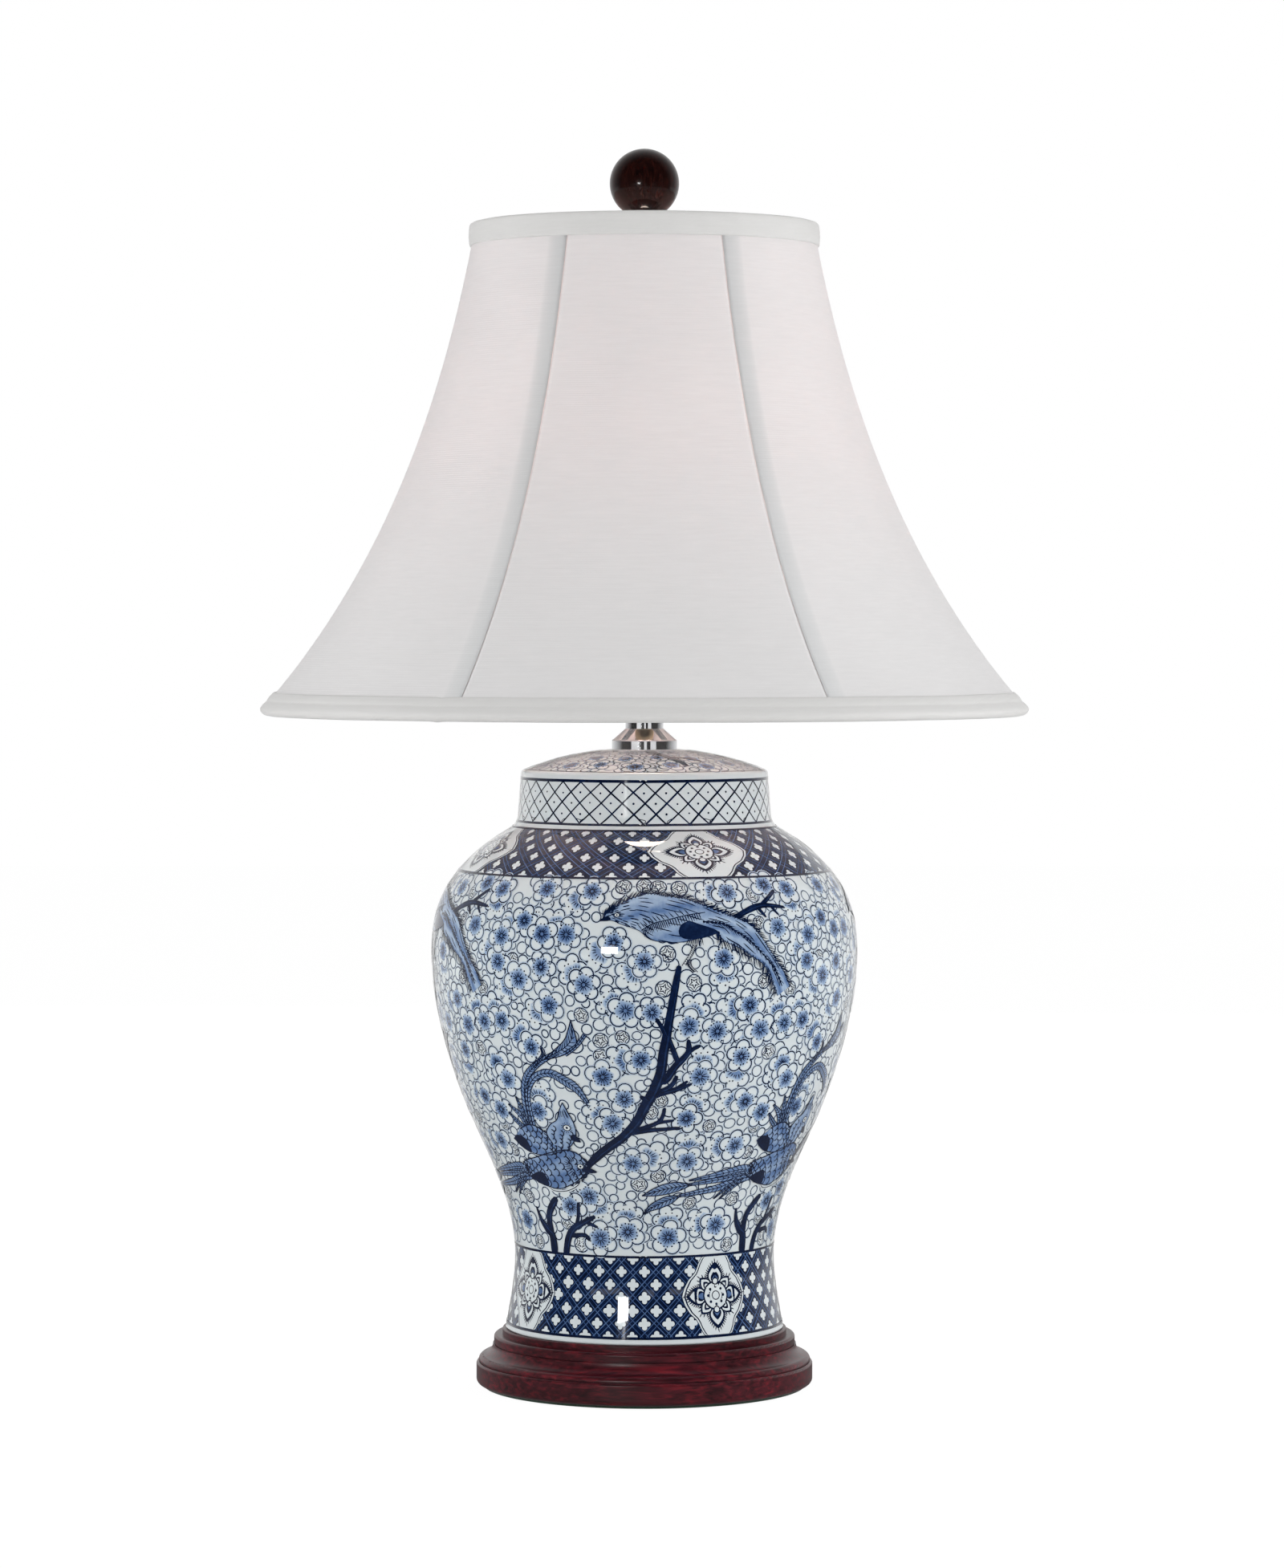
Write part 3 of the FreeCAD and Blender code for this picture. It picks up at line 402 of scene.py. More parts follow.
plainFinish = {
    "knobPlastic": {"dark": (0.010, 0.010, 0.010), "light": (0.018, 0.018, 0.019),
                    "rough": (0.35, 0.5), "grain": 900, "depth": 0.06},
    "ringRubber": {"dark": (0.012, 0.012, 0.012), "light": (0.024, 0.023, 0.022),
                   "rough": (0.65, 0.85), "grain": 600, "depth": 0.15},
    "linerPaper": {"dark": (0.20, 0.17, 0.13), "light": (0.34, 0.30, 0.24),
                   "rough": (0.8, 0.95), "grain": 500, "depth": 0.2},
    "phenolic": {"dark": (0.016, 0.012, 0.010), "light": (0.032, 0.025, 0.020),
                 "rough": (0.3, 0.45), "grain": 400, "depth": 0.08},
    "blackGlass": {"dark": (0.008, 0.008, 0.010), "light": (0.020, 0.020, 0.024),
                   "rough": (0.1, 0.25), "grain": 300, "depth": 0.05},
    "whiteWire": {"dark": (0.66, 0.65, 0.63), "light": (0.78, 0.77, 0.75),
                  "rough": (0.35, 0.55), "grain": 500, "depth": 0.10},
}


def makePlain(name):
    look = plainFinish[name]
    material, tree, shader = newFinish(name, {})
    patch = noise(tree, look["grain"] / 6, 4)
    fine = noise(tree, look["grain"], 3)
    tones = ramp(tree, patch, [(0.3, look["dark"]), (0.7, look["light"])])
    join(tree, tones, shader, "Base Color")
    join(tree, scaled(tree, fine, *look["rough"], 0.3, 0.7), shader, "Roughness")
    bump(tree, shader, fine, look["depth"], 0.0002)
    return material


bulbLook = {
    "glow": (1.0, 0.83, 0.71),
    "shineLow": 13.0,  # beside its cap
    "shineHigh": 27.0,  # over its crown
    "low": 0.470,  # the heights between which it brightens
    "high": 0.512,
    "frost": (0.90, 0.88, 0.85),
}


def makeBulbGlass():
    # soft white coating that shines from within
    material, tree, shader = newFinish("bulbGlass", {"Emission Color": (*bulbLook["glow"], 1)})
    haze = noise(tree, 70, 4)
    join(tree, speckled(tree, haze, bulbLook["frost"], 0.94), shader, "Base Color")
    shine = scaled(tree, axis(tree, objectSpot(tree), "Z"), bulbLook["shineLow"],
                   bulbLook["shineHigh"], bulbLook["low"], bulbLook["high"])
    join(tree, shine, shader, "Emission Strength")
    join(tree, scaled(tree, haze, 0.16, 0.30), shader, "Roughness")
    return material


def makeClearGlass():
    material, tree, shader = newFinish("clearGlass", {"Roughness": 0.03,
                                                      "Transmission Weight": 1.0})
    seeds = noise(tree, 260, 2)
    join(tree, ramp(tree, seeds, [(0.3, (0.86, 0.90, 0.89)), (0.7, (0.95, 0.97, 0.96))]),
         shader, "Base Color")
    bump(tree, shader, seeds, 0.03, 0.0001)
    return material


finishOf = {
    "baseWood": ["wood_base"],
    "ballWood": ["finial_ball"],
    "chrome": ["neck_ring", "neck_tube"],
    "nickel": ["harp_saddle", "harp_wire", "harp_stud", "harp_sleeve_left", "harp_sleeve_right"],
    "zinc": ["threaded_rod", "rod_washer", "rod_nut", "socket_set_screw"],
    "socketBrass": ["socket_cap", "socket_shell", "finial_bush"],
    "contactBrass": ["terminal_screw_left", "terminal_screw_right", "socket_screw_shell",
                     "socket_center_contact", "switch_shaft", "bulb_tip"],
    "bulbAluminium": ["bulb_cap"],
    "filamentSteel": ["bulb_filament"],
    "knobPlastic": ["cord_bushing", "switch_knob"],
    "ringRubber": ["jar_seat_gasket", "jar_top_gasket"],
    "linerPaper": ["socket_liner"],
    "phenolic": ["socket_body"],
    "blackGlass": ["bulb_insulator"],
    "whiteWire": ["shade_top_ring", "shade_bottom_ring", "shade_ribs", "shade_hub",
                  "shade_arm_1", "shade_arm_2", "shade_arm_3"],
    "bulbGlass": ["bulb_globe"],
    "clearGlass": ["bulb_stem"],
}


def finishHardPieces():
    finishes = {"bulbGlass": makeBulbGlass(), "clearGlass": makeClearGlass()}
    for looks, make in ((metalFinish, makeMetal), (woodFinish, makeWood),
                        (plainFinish, makePlain)):
        finishes.update({name: make(name) for name in looks})
    for finish, nodeNames in finishOf.items():
        for nodeName in nodeNames:
            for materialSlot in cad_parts[nodeName].material_slots:
                materialSlot.material = finishes[finish]


finishHardPieces()
print("hard pieces finished")


# Shade: six stretched panels, lining and trims

shade = {
    "topRadius": 0.0973,
    "flare": 0.1097,
    "curl": 1.4,
    "flareTop": 0.642,
    "flareHeight": 0.250,
    "clothTop": 0.6515,
    "clothFoot": 0.38355,
    "cloth": 0.0007,
    "panels": 6,
    "halfGap": 0.0002,
    "flatten": 0.22,  # how far the cloth is pulled flat between two ribs
    "seamDip": 0.0010,
    "seamWidth": 0.0009,
    "seamFoldShade": 0.011,  # width of the folded edge beside a seam, raised a little and painted darker as shade
    "foldRise": 0.00015,
    "clothTone": (0.885, 0.885, 0.885),
    "clothThrough": 0.31,  # share of light that passes the upper half of the cloth
    "clothWarm": (1.0, 0.93, 0.94),  # its colour against the light
    "footShare": 0.62,  # how much of that is left at the wide foot, far from the bulb
    "seamTop": 25.9,  # degrees from the front to its two seams, at the top and at the foot
    "seamFoot": 27.9,
    "liningTone": (0.88, 0.875, 0.87),
    "liningThrough": 0.74,
    "liningDepth": 0.0040,
    "lining": 0.0005,
    "liningFoot": 0.3845,
    "gather": 0.00035,
    "clothThreads": 260,
    "liningThreads": 420,
}


def shadeRadius(height):
    drop = np.clip((shade["flareTop"] - height) / shade["flareHeight"], 0, None)
    return shade["topRadius"] + shade["flare"] * np.expm1(shade["curl"] * drop) / math.expm1(
        shade["curl"])


def panelRadius(height, fromMiddle):
    # round at both wire rings and flatter in between, as cloth stretched over six ribs
    half = math.pi / shade["panels"]
    share = np.clip((shade["flareTop"] - height) / shade["flareHeight"], 0, 1)
    pull = shade["flatten"] * np.sin(math.pi * share) ** 0.8
    chord = 1 - math.cos(half) / np.cos(np.clip(fromMiddle, -half, half))
    return shadeRadius(height) * (1 - pull * chord)


def clothMaterial(name, tone, through, threads, bias=0.0):
    # bias turns the threads, as in a strip that is cut across the cloth
    material, tree, shader = newFinish(name, {"Roughness": 0.85, "Sheen Weight": 0.25,
                                              "Sheen Roughness": 0.5})
    spot = objectSpot(tree)
    tilted = addNode(tree, "ShaderNodeMapping", {"Vector": spot, "Rotation": (0, bias, 0)})
    weft = addNode(tree, "ShaderNodeTexWave", {"Vector": tilted.outputs[0], "Scale": threads,
                                               "Distortion": 1.2, "Detail": 2.0,
                                               "Detail Scale": 3.0}, bands_direction="Z")
    slub = noise(tree, 60, 3, (1, 1, 14), 0.6)
    fine = noise(tree, 1500, 2, (1, 1, 2.2), 0.6)
    cloud = noise(tree, 9, 3)
    weave = compute(tree, "ADD", weft.outputs[1], fine)
    soft = ramp(tree, cloud, [(0.35, grey(0.975)), (0.65, grey(1.0))])
    colour = mixColour(tree, 1.0, speckled(tree, slub, tone, 0.965), soft, "MULTIPLY")
    # folded edges beside a seam are two cloths thick, so less light comes through them; their
    # colour is also darkened and tinted blue, a painted shade of the fold
    band = addNode(tree, "ShaderNodeAttribute", attribute_name="seamFoldShade").outputs["Fac"]
    # painted shade: darker, bluer cloth colour over the fold
    edge = ramp(tree, band, [(0.0, grey(1.0)), (1.0, (0.93, 0.945, 0.95))])
    join(tree, mixColour(tree, 1.0, colour, edge, "MULTIPLY"), shader, "Base Color")
    bump(tree, shader, weave, 0.18, 0.00025)
    dim = ramp(tree, band, [(0.0, grey(1.0)), (1.0, grey(0.35))])
    warm = mixColour(tree, 1.0, colour, shade["clothWarm"], "MULTIPLY")
    passing = addNode(tree, "ShaderNodeBsdfTranslucent",
                      {"Color": mixColour(tree, 1.0, warm, dim, "MULTIPLY")})
    share = scaled(tree, axis(tree, spot, "Z"), shade["footShare"] * through, through, 0.40, 0.53)
    both = mixShader(tree, share, shader.outputs[0], passing.outputs[0])
    join(tree, both, tree.nodes["Material Output"], "Surface")
    return material


def gridFaces(rows, columns, start, flip):
    faces = []
    for row in range(rows - 1):
        for column in range(columns - 1):
            a = start + row * columns + column
            quad = (a, a + 1, a + columns + 1, a + columns)
            faces.append(quad[::-1] if flip else quad)
    return faces


def closedSheet(outer, inner, rows, columns):
    # two skins with their four edges sewn together
    count = rows * columns
    faces = gridFaces(rows, columns, 0, False) + gridFaces(rows, columns, count, True)
    rim = list(range(columns))
    rim += [row * columns + columns - 1 for row in range(1, rows)]
    rim += [(rows - 1) * columns + k for k in range(columns - 2, -1, -1)]
    rim += [row * columns for row in range(rows - 2, 0, -1)]
    for spot, after in zip(rim, rim[1:] + rim[:1]):
        faces.append((after, spot, spot + count, after + count))
    return np.vstack([outer, inner]), faces


def seamBearings(height):
    # bearings of the seams, from the one left of the front all the way round
    share = float(np.clip((shade["flareTop"] - height) / shade["flareHeight"], 0, 1))
    front = math.radians(shade["seamTop"] + (shade["seamFoot"] - shade["seamTop"]) * share)
    turns = [math.radians(d) for d in (90, 150, 210, 270)]
    return [-front, front] + turns + [2 * math.pi - front]


def onCircle(radius, bearing, height):
    return np.stack([radius * np.sin(bearing), -radius * np.cos(bearing), height], -1)


def panelRow(height, panel, edges, folds):
    # one row of points across a panel, outside and inside, and how much painted shade the fold and
    # seam get
    half = math.pi / shade["panels"]
    radius = float(shadeRadius(height))
    seams = seamBearings(height)
    bearing = (seams[panel] + seams[panel + 1]) / 2
    wide = (seams[panel + 1] - seams[panel]) / 2
    reach = wide - shade["halfGap"] / radius
    inward = edges / radius
    middle = np.linspace(-reach + inward[-1], reach - inward[-1], 22)[1:-1]
    across = np.concatenate([-reach + inward, middle, (reach - inward)[::-1]])
    fromEdge = np.minimum(across + reach, reach - across) * radius
    dip = shade["seamDip"] * np.exp(-(fromEdge / shade["seamWidth"]) ** 2)
    fade = [np.clip(1 - side * radius / shade["seamFoldShade"], 0, 1) ** 0.6
            for side in (across + reach, reach - across)]
    show = folds[0] * fade[0] + folds[1] * fade[1]
    place = panelRadius(height, across * half / wide) - dip + shade["foldRise"] * show
    level = np.full(len(across), height)
    # the third value is painted shade: the fold band, and a thin painted shadow line along the
    # seam itself
    return (onCircle(place, bearing + across, level),
            onCircle(place - shade["cloth"] + 0.5 * dip, bearing + across, level),
            0.9 * show + 0.5 * np.exp(-(fromEdge / 0.0006) ** 2))


def makePanels():
    cloth = clothMaterial("shadeCloth", shade["clothTone"], shade["clothThrough"],
                          shade["clothThreads"])
    heights = np.concatenate([[shade["clothFoot"]],
                              np.linspace(shade["clothFoot"] + 0.004, shade["flareTop"], 64),
                              [0.647, shade["clothTop"]]])
    # points lie closer together beside a seam
    edges = np.array([0, 0.0006, 0.0012, 0.0022, 0.0035, 0.0050, 0.0065, 0.0080, 0.0095,
                      0.0115, 0.0140])
    # which edges of each panel carry a raised fold, painted darker as shade
    foldSides = [(0, 0), (1, 0), (1, 1), (0, 0), (1, 1), (0, 1)]
    # the solids count from the back's left edge round, so the front panel is the second
    numbers = [2, 3, 4, 5, 6, 1]
    for panel, (folds, number) in enumerate(zip(foldSides, numbers)):
        rows = [panelRow(height, panel, edges, folds) for height in heights]
        outer, inner, bands = (np.concatenate(part) for part in zip(*rows))
        verts, faces = closedSheet(outer, inner, len(rows), len(rows[0][2]))
        band = np.clip(bands, 0, 1)
        piece = smoothMesh("clothPanel%d" % number, verts, faces, cloth, "shade",
                           50, values={"seamFoldShade": np.concatenate([band, band])})
        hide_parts("shade_panel_%d" % number)


makePanels()
print("shade panels stretched")

trims = {
    "topRadius": 0.0983,
    "topHigh": 0.655,
    "topLow": 0.642,
    "topFold": 0.024,
    "footHigh": 0.39195,
    "footLow": 0.37888,
    "footRadius": 0.21525,
    "footFold": 0.027,
    "thick": 0.0009,
    "joint": -31,  # bearing in degrees where the bottom trim's ends meet
    "tone": (0.72, 0.715, 0.705),
    "through": 0.06,
    "threads": 300,
    "bias": 0.6,
}


def puff(strength, waves):
    # gentle uneven fullness of folded cloth
    shifts = [random.uniform(0, 6.28) for _ in waves]

    def wobble(radius, height, angle):
        swell = sum(np.sin(wave * angle + shift + height * 160) / (k + 1)
                    for k, (wave, shift) in enumerate(zip(waves, shifts)))
        return radius + strength * swell, height + 0.4 * strength * swell
    return wobble


def addTrim(name, outline, around, wobble, node):
    verts = lathe(outline, around, wobble)
    piece = smoothMesh(name, verts, ringFaces(len(outline), around), trimCloth, "shade",
                       70, values={"seamFoldShade": np.zeros(len(verts))})
    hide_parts(node)


def arcPoints(centre, wide, high, first, last, steps):
    turns = np.linspace(first, last, steps)
    return [(centre[0] + wide * math.cos(a), centre[1] + high * math.sin(a)) for a in turns]


def makeTopTrim():
    # a soft band up the outside, rolled over the top wire and down inside
    r, low, high = trims["topRadius"], trims["topLow"], trims["topHigh"]
    roll = 0.0024
    outline = [(r - 0.0009, low), (r - 0.0002, low + 0.0002), (r + 0.0001, low + 0.0009)]
    for step in range(1, 9):
        share = step / 9
        outline.append((r + 0.0004 * math.sin(math.pi * share),
                        low + (high - low - 0.0022) * share))
    outline += arcPoints((r - roll, high - roll), roll, roll, 0, math.pi, 9)
    outline += [(r - inward, high - down) for inward, down in (
        (0.0048, 0.006), (0.0042, 0.0061), (0.0040, 0.0035), (0.0030, 0.0016),
        (0.0018, 0.0015), (0.0009, 0.0035))]
    addTrim("topTrimBand", outline, 240, puff(0.00010, (7, 13, 31)),
            "shade_top_trim")


def makeFootTrim():
    # two folds with a groove between, rolled under the bottom wire
    low, high = trims["footLow"], trims["footHigh"]
    skin = []
    for share in np.linspace(0, 1, 15):
        height = high - (high - low - 0.0040) * share
        ridge = 0.0007 * abs(math.sin(2 * math.pi * share * 0.93)) ** 0.7
        skin.append((float(shadeRadius(height)) + 0.0010 + ridge, height))
    centre = (skin[-1][0] - 0.0042, skin[-1][1] + 0.0006)
    turns = (-0.2, 0.3 - math.pi)
    outline = skin + arcPoints(centre, 0.0045, 0.0046, *turns, 9)[1:]
    outline += [(centre[0] - 0.0052, centre[1] + 0.0055), (centre[0] - 0.0046, centre[1] + 0.0058)]
    outline += arcPoints(centre, 0.0037, 0.0038, *turns, 9)[:0:-1]
    outline += [(r - trims["thick"] - 0.000264, z - 0.0002) for r, z in skin[::-1]]
    joint = math.radians(trims["joint"]) % (2 * math.pi)
    soften = puff(0.00012, (9, 17, 40))

    def wobble(radius, height, angle):
        radius, height = soften(radius, height, angle)
        near = np.exp(-((angle - joint) * 0.21 / 0.0030) ** 2)
        return radius + 0.0006 * near, height - 0.0004 * near
    addTrim("footTrimBand", outline, 360, wobble, "shade_bottom_trim")


def makeLining():
    # hangs inside the ribs, with fine gathers near both rings
    heights = np.concatenate([np.linspace(shade["liningFoot"], shade["flareTop"], 60),
                              [0.6455, 0.6495]])
    around = 360
    bearing = np.linspace(0, 2 * math.pi, around, endpoint=False)
    folds = sum(np.sin(wave * bearing + random.uniform(0, 6.28)) for wave in (47, 71, 113)) / 3
    half = math.pi / shade["panels"]
    fromMiddle = (bearing + half) % (2 * half) - half
    outer, inner = [], []
    for height in heights:
        share = np.clip((shade["flareTop"] - height) / shade["flareHeight"], 0, 1)
        gather = shade["gather"] * (0.35 + abs(2 * share - 1) ** 2)
        slope = float(shadeRadius(height - 0.0005) - shadeRadius(height + 0.0005)) / 0.001
        square = math.hypot(1, slope)
        radius = panelRadius(height, fromMiddle) - shade["liningDepth"] * square \
            + gather * folds
        level = np.full(around, height)
        outer.append(onCircle(radius, bearing, level))
        inner.append(onCircle(radius - shade["lining"] * square, bearing, level))
    verts = np.vstack(outer + inner[::-1])
    cloth = clothMaterial("liningCloth", shade["liningTone"], shade["liningThrough"],
                          shade["liningThreads"])
    piece = smoothMesh("liningCloth", verts, ringFaces(2 * len(heights), around), cloth,
                       "shade", 50, values={"seamFoldShade": np.zeros(len(verts))})
    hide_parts("shade_lining")


trimCloth = clothMaterial("trimCloth", trims["tone"], trims["through"], trims["threads"],
                          trims["bias"])
makeTopTrim()
makeFootTrim()
makeLining()
print("trims and lining sewn")


# Felt under the base

felt = {
    "round": 0.0005,
    "dark": (0.010, 0.030, 0.018),
    "light": (0.030, 0.070, 0.042),
}


def makeFelt():
    low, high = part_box("base_felt")[0].z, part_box("base_felt")[1].z
    r, edge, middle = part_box("base_felt")[1].x, felt["round"], 0.0005
    outline = [(middle, low)]
    outline += [(r * k / 24, low) for k in range(1, 24)]
    outline += [(r - edge, low), (r - edge * 0.3, low + edge * 0.3), (r, low + edge),
                (r, high - edge), (r - edge, high), (r * 0.8, high), (r * 0.5, high),
                (middle, high)]
    material, tree, shader = newFinish("greenFelt", {"Roughness": 0.95, "Sheen Weight": 0.6})
    fibres = noise(tree, 800, 4, (1, 1, 1), 0.7, 1.5)
    clumps = ramp(tree, noise(tree, 120, 3), [(0.3, grey(0.8)), (0.7, grey(1.1))])
    tones = ramp(tree, fibres, [(0.3, felt["dark"]), (0.7, felt["light"])])
    join(tree, mixColour(tree, 1.0, tones, clumps, "MULTIPLY"), shader, "Base Color")
    bump(tree, shader, fibres, 0.5, 0.0004)
    piece = smoothMesh("feltPad", lathe(outline, 180), ringFaces(len(outline), 180),
                       material, "lamp_body", 50)
    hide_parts("base_felt")


makeFelt()
print("felt glued")


# Porcelain jar

jar = {
    # radius and height of the side, foot to collar, in millimetres
    "side": [(78.5, 33.0), (75.31, 51.2), (73.1, 78.5), (80.12, 112.1), (97.72, 153.0),
             (112.22, 194.1), (119.9, 241.5), (117.01, 269.0), (107.22, 289.0), (91.46, 305.0),
             (71.7, 317.8)],
    "collarFillet": 9.0,
    "rim": (69.5, 347.8),
    "rimRound": 2.4,
    "seat": (18.3, 359.8),
    "domeBulge": 2.1,
    "footRound": 1.2,
    "footInner": 68.0,
    "footDepth": 5.0,
    "hole": 6.0,
    "around": 288,
}


def splinePoints(points, perSpan):
    # smooth curve through the points, with its end slopes from the four points there
    p = np.array(points, float)
    n = len(p)
    u = np.concatenate([[0], np.cumsum(np.hypot(*np.diff(p, axis=0).T))])
    h = np.diff(u)
    slopes = []
    for index in ([0, 1, 2, 3], [n - 1, n - 2, n - 3, n - 4]):
        table = np.vander(u[index] - u[index[0]], 4, increasing=True)
        slopes.append(np.linalg.solve(table, p[index])[1])
    left = np.zeros((n, n))
    right = np.zeros((n, 2))
    left[0, 0] = left[-1, -1] = 1
    right[0], right[-1] = slopes
    for i in range(1, n - 1):
        left[i, i - 1:i + 2] = h[i], 2 * (h[i - 1] + h[i]), h[i - 1]
        right[i] = 3 * (h[i] * (p[i] - p[i - 1]) / h[i - 1] + h[i - 1] * (p[i + 1] - p[i]) / h[i])
    m = np.linalg.solve(left, right)
    s = np.linspace(0, 1, perSpan, endpoint=False)[:, None]
    spans = [(2 * s ** 3 - 3 * s ** 2 + 1) * p[i] + (s ** 3 - 2 * s ** 2 + s) * h[i] * m[i]
             + (3 * s ** 2 - 2 * s ** 3) * p[i + 1] + (s ** 3 - s ** 2) * h[i] * m[i + 1]
             for i in range(n - 1)]
    return np.vstack(spans + [p[-1:]])


def roundedCorner(before, corner, after, radius, steps):
    a, b, c = (np.array(q, float) for q in (before, corner, after))
    back = (a - b) / np.linalg.norm(a - b)
    on = (c - b) / np.linalg.norm(c - b)
    half = math.acos(float(np.clip(back @ on, -1, 1))) / 2
    reach = radius / math.tan(half)
    centre = b + (back + on) / np.linalg.norm(back + on) * radius / math.sin(half)
    start, end = b + back * reach - centre, b + on * reach - centre
    first = math.atan2(start[1], start[0])
    turn = (math.atan2(end[1], end[0]) - first + math.pi) % (2 * math.pi) - math.pi
    arc = [centre + radius * np.array([math.cos(first + turn * k / steps),
                                       math.sin(first + turn * k / steps)])
           for k in range(steps + 1)]
    return arc, reach


def outerOutline():
    # foot, side, collar and dome in one line, in millimetres
    side = splinePoints(jar["side"], 22)
    fillet, reach = roundedCorner(side[-2], side[-1], jar["rim"], jar["collarFillet"], 12)
    points = [q for q in side[:-1] if np.hypot(*(q - side[-1])) > reach]
    points += fillet
    seat, rim = np.array(jar["seat"]), np.array(jar["rim"])
    square = np.array([seat[1] - rim[1], rim[0] - seat[0]])
    square = square / np.linalg.norm(square)
    dome = [rim + (seat - rim) * share + square * jar["domeBulge"] * 4 * share * (1 - share)
            for share in np.linspace(0, 1, 41)]
    edge, reach = roundedCorner(side[-1], rim, dome[2], jar["rimRound"], 8)
    points += list(np.linspace(points[-1], edge[0], 14)[1:])
    points += edge[1:]
    points += [q for q in dome if np.hypot(*(q - rim)) > reach + 0.4]
    return np.array(points)


outline = outerOutline()
outlineLength = np.concatenate([[0], np.cumsum(np.hypot(*np.diff(outline, axis=0).T))])
along = np.gradient(outline, outlineLength, axis=0)
along /= np.hypot(*along.T)[:, None]
outward = np.stack([along[:, 1], -along[:, 0]], 1)


def jarRadius(length):
    return np.interp(length, outlineLength, outline[:, 0])


def onJar(bearing, length, lift):
    # bearing in radians from the front, length and lift in millimetres
    radius = jarRadius(length)
    height = np.interp(length, outlineLength, outline[:, 1])
    nr = np.interp(length, outlineLength, outward[:, 0])
    nz = np.interp(length, outlineLength, outward[:, 1])
    size = np.hypot(nr, nz)
    nr, nz = nr / size, nz / size
    points = onCircle(radius + nr * lift, bearing, height + nz * lift) * mm
    normals = np.stack([nr * np.sin(bearing), -nr * np.cos(bearing), nz], -1)
    return points, normals


glaze = {
    "white": (0.66, 0.715, 0.735),
    # how deep the cobalt lies, and its colour there
    "cobalt": [(0.28, (0.36, 0.47, 0.62)), (0.52, (0.115, 0.200, 0.385)),
               (0.74, (0.026, 0.060, 0.160)), (0.90, (0.0045, 0.0140, 0.052)),
               (1.0, (0.0025, 0.0075, 0.029))],
    "pooling": 0.07,  # how unevenly it fired
    "waves": 0.0010,
}


def glazeMaterial(name):
    # one clear glaze lies over bare and painted porcelain alike
    material, tree, shader = newFinish(name, {"Specular IOR Level": 0.1, "Coat Weight": 1.0,
                                              "Coat Roughness": 0.025})
    join(tree, scaled(tree, noise(tree, 7, 4), 0.05, 0.10), shader, "Roughness")
    bump(tree, shader, noise(tree, 26, 2), 0.22, glaze["waves"])
    return material, tree, shader


def makeBareGlaze():
    material, tree, shader = glazeMaterial("bareGlaze")
    colour = speckled(tree, noise(tree, 7, 4), glaze["white"], 0.97)
    specks = ramp(tree, noise(tree, 900, 2), [(0.22, grey(0.80)), (0.27, grey(1.0))])
    join(tree, mixColour(tree, 0.25, colour, specks, "MULTIPLY"), shader, "Base Color")
    return material


def makeCobaltGlaze():
    material, tree, shader = glazeMaterial("cobaltGlaze")
    depth = addNode(tree, "ShaderNodeAttribute", attribute_name="cobalt").outputs["Fac"]
    pooled = scaled(tree, noise(tree, 210, 4, (1, 1, 1), 0.6), -glaze["pooling"],
                    glaze["pooling"], 0.3, 0.7)
    stirred = compute(tree, "ADD", pooled, depth)
    # places left white stay white
    painted = compute(tree, "GREATER_THAN", depth, 0.03)
    kept = compute(tree, "MULTIPLY", stirred, painted)
    join(tree, ramp(tree, kept, [(0.0, glaze["white"])] + glaze["cobalt"]), shader, "Base Color")
    return material


cobaltGlaze = makeCobaltGlaze()


def makeJarBody():
    r, foot = jar["side"][0]
    soft, inner, floor = jar["footRound"], jar["footInner"], foot + jar["footDepth"]
    loop = [(r - soft * (1 - math.sin(a)), foot + soft * (1 - math.cos(a)))
            for a in np.linspace(0, math.pi / 2 * 0.93, 6)]
    loop += [tuple(q) for q in outline if q[1] > foot + soft or q[0] < 30]
    loop += [(jar["hole"], jar["seat"][1]), (jar["hole"], floor), (30.0, floor),
             (inner - 1.5, floor), (inner, floor - 1.5), (inner, foot + 0.6), (inner + 0.6, foot)]
    piece = smoothMesh("jarGlaze", lathe(loop, jar["around"]) * mm,
                       ringFaces(len(loop), jar["around"]), makeBareGlaze(),
                       "lamp_body", 35)
    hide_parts("porcelain_jar")


makeJarBody()
print("jar thrown")


# Brush: paint laid just over the glaze, held as (bearing, length, lift, cobalt) rows

def newPaint():
    return {"rows": [], "faces": [], "count": 0}


def addRows(paint, bearing, length, lift, cobalt):
    bearing = np.asarray(bearing, float)
    rows = np.stack([bearing, np.broadcast_to(length, bearing.shape),
                     np.broadcast_to(lift, bearing.shape),
                     np.broadcast_to(cobalt, bearing.shape)], -1).reshape(-1, 4)
    start = paint["count"]
    paint["rows"].append(rows)
    paint["count"] += len(rows)
    return start


def alongLine(path, closed=False):
    # unit steps along and across a line, in millimetres right and up
    step = np.roll(path, -1, 0) - np.roll(path, 1, 0) if closed else np.gradient(path, axis=0)
    run = np.stack([step[:, 0] * jarRadius(path[:, 1]), step[:, 1]], 1)
    run /= np.maximum(np.hypot(*run.T), 1e-9)[:, None]
    return run, np.stack([-run[:, 1], run[:, 0]], 1)


def ribbon(paint, path, width, lift, cobalt, closed=False, taper=(1.0, 1.0)):
    # path holds (bearing, length) rows; width is in millimetres
    path = np.asarray(path, float)
    radius = jarRadius(path[:, 1])
    aside = alongLine(path, closed)[1]
    half = np.broadcast_to(np.asarray(width, float), (len(path),)) / 2
    share = np.linspace(0, 1, len(path))
    grow = np.minimum(1, np.minimum(taper[0] + share * 5, taper[1] + (1 - share) * 5))
    half = half * (1 if closed else grow)
    edge = np.stack([aside[:, 0] / radius, aside[:, 1]], 1) * half[:, None]
    both = np.stack([path + edge, path - edge], 1).reshape(-1, 2)
    start = addRows(paint, both[:, 0], both[:, 1], lift, np.repeat(
        np.broadcast_to(cobalt, (len(path),)), 2))
    last = len(path) if closed else len(path) - 1
    for k in range(last):
        a, b = start + 2 * k, start + 2 * ((k + 1) % len(path))
        paint["faces"].append((a + 1, b + 1, b, a))


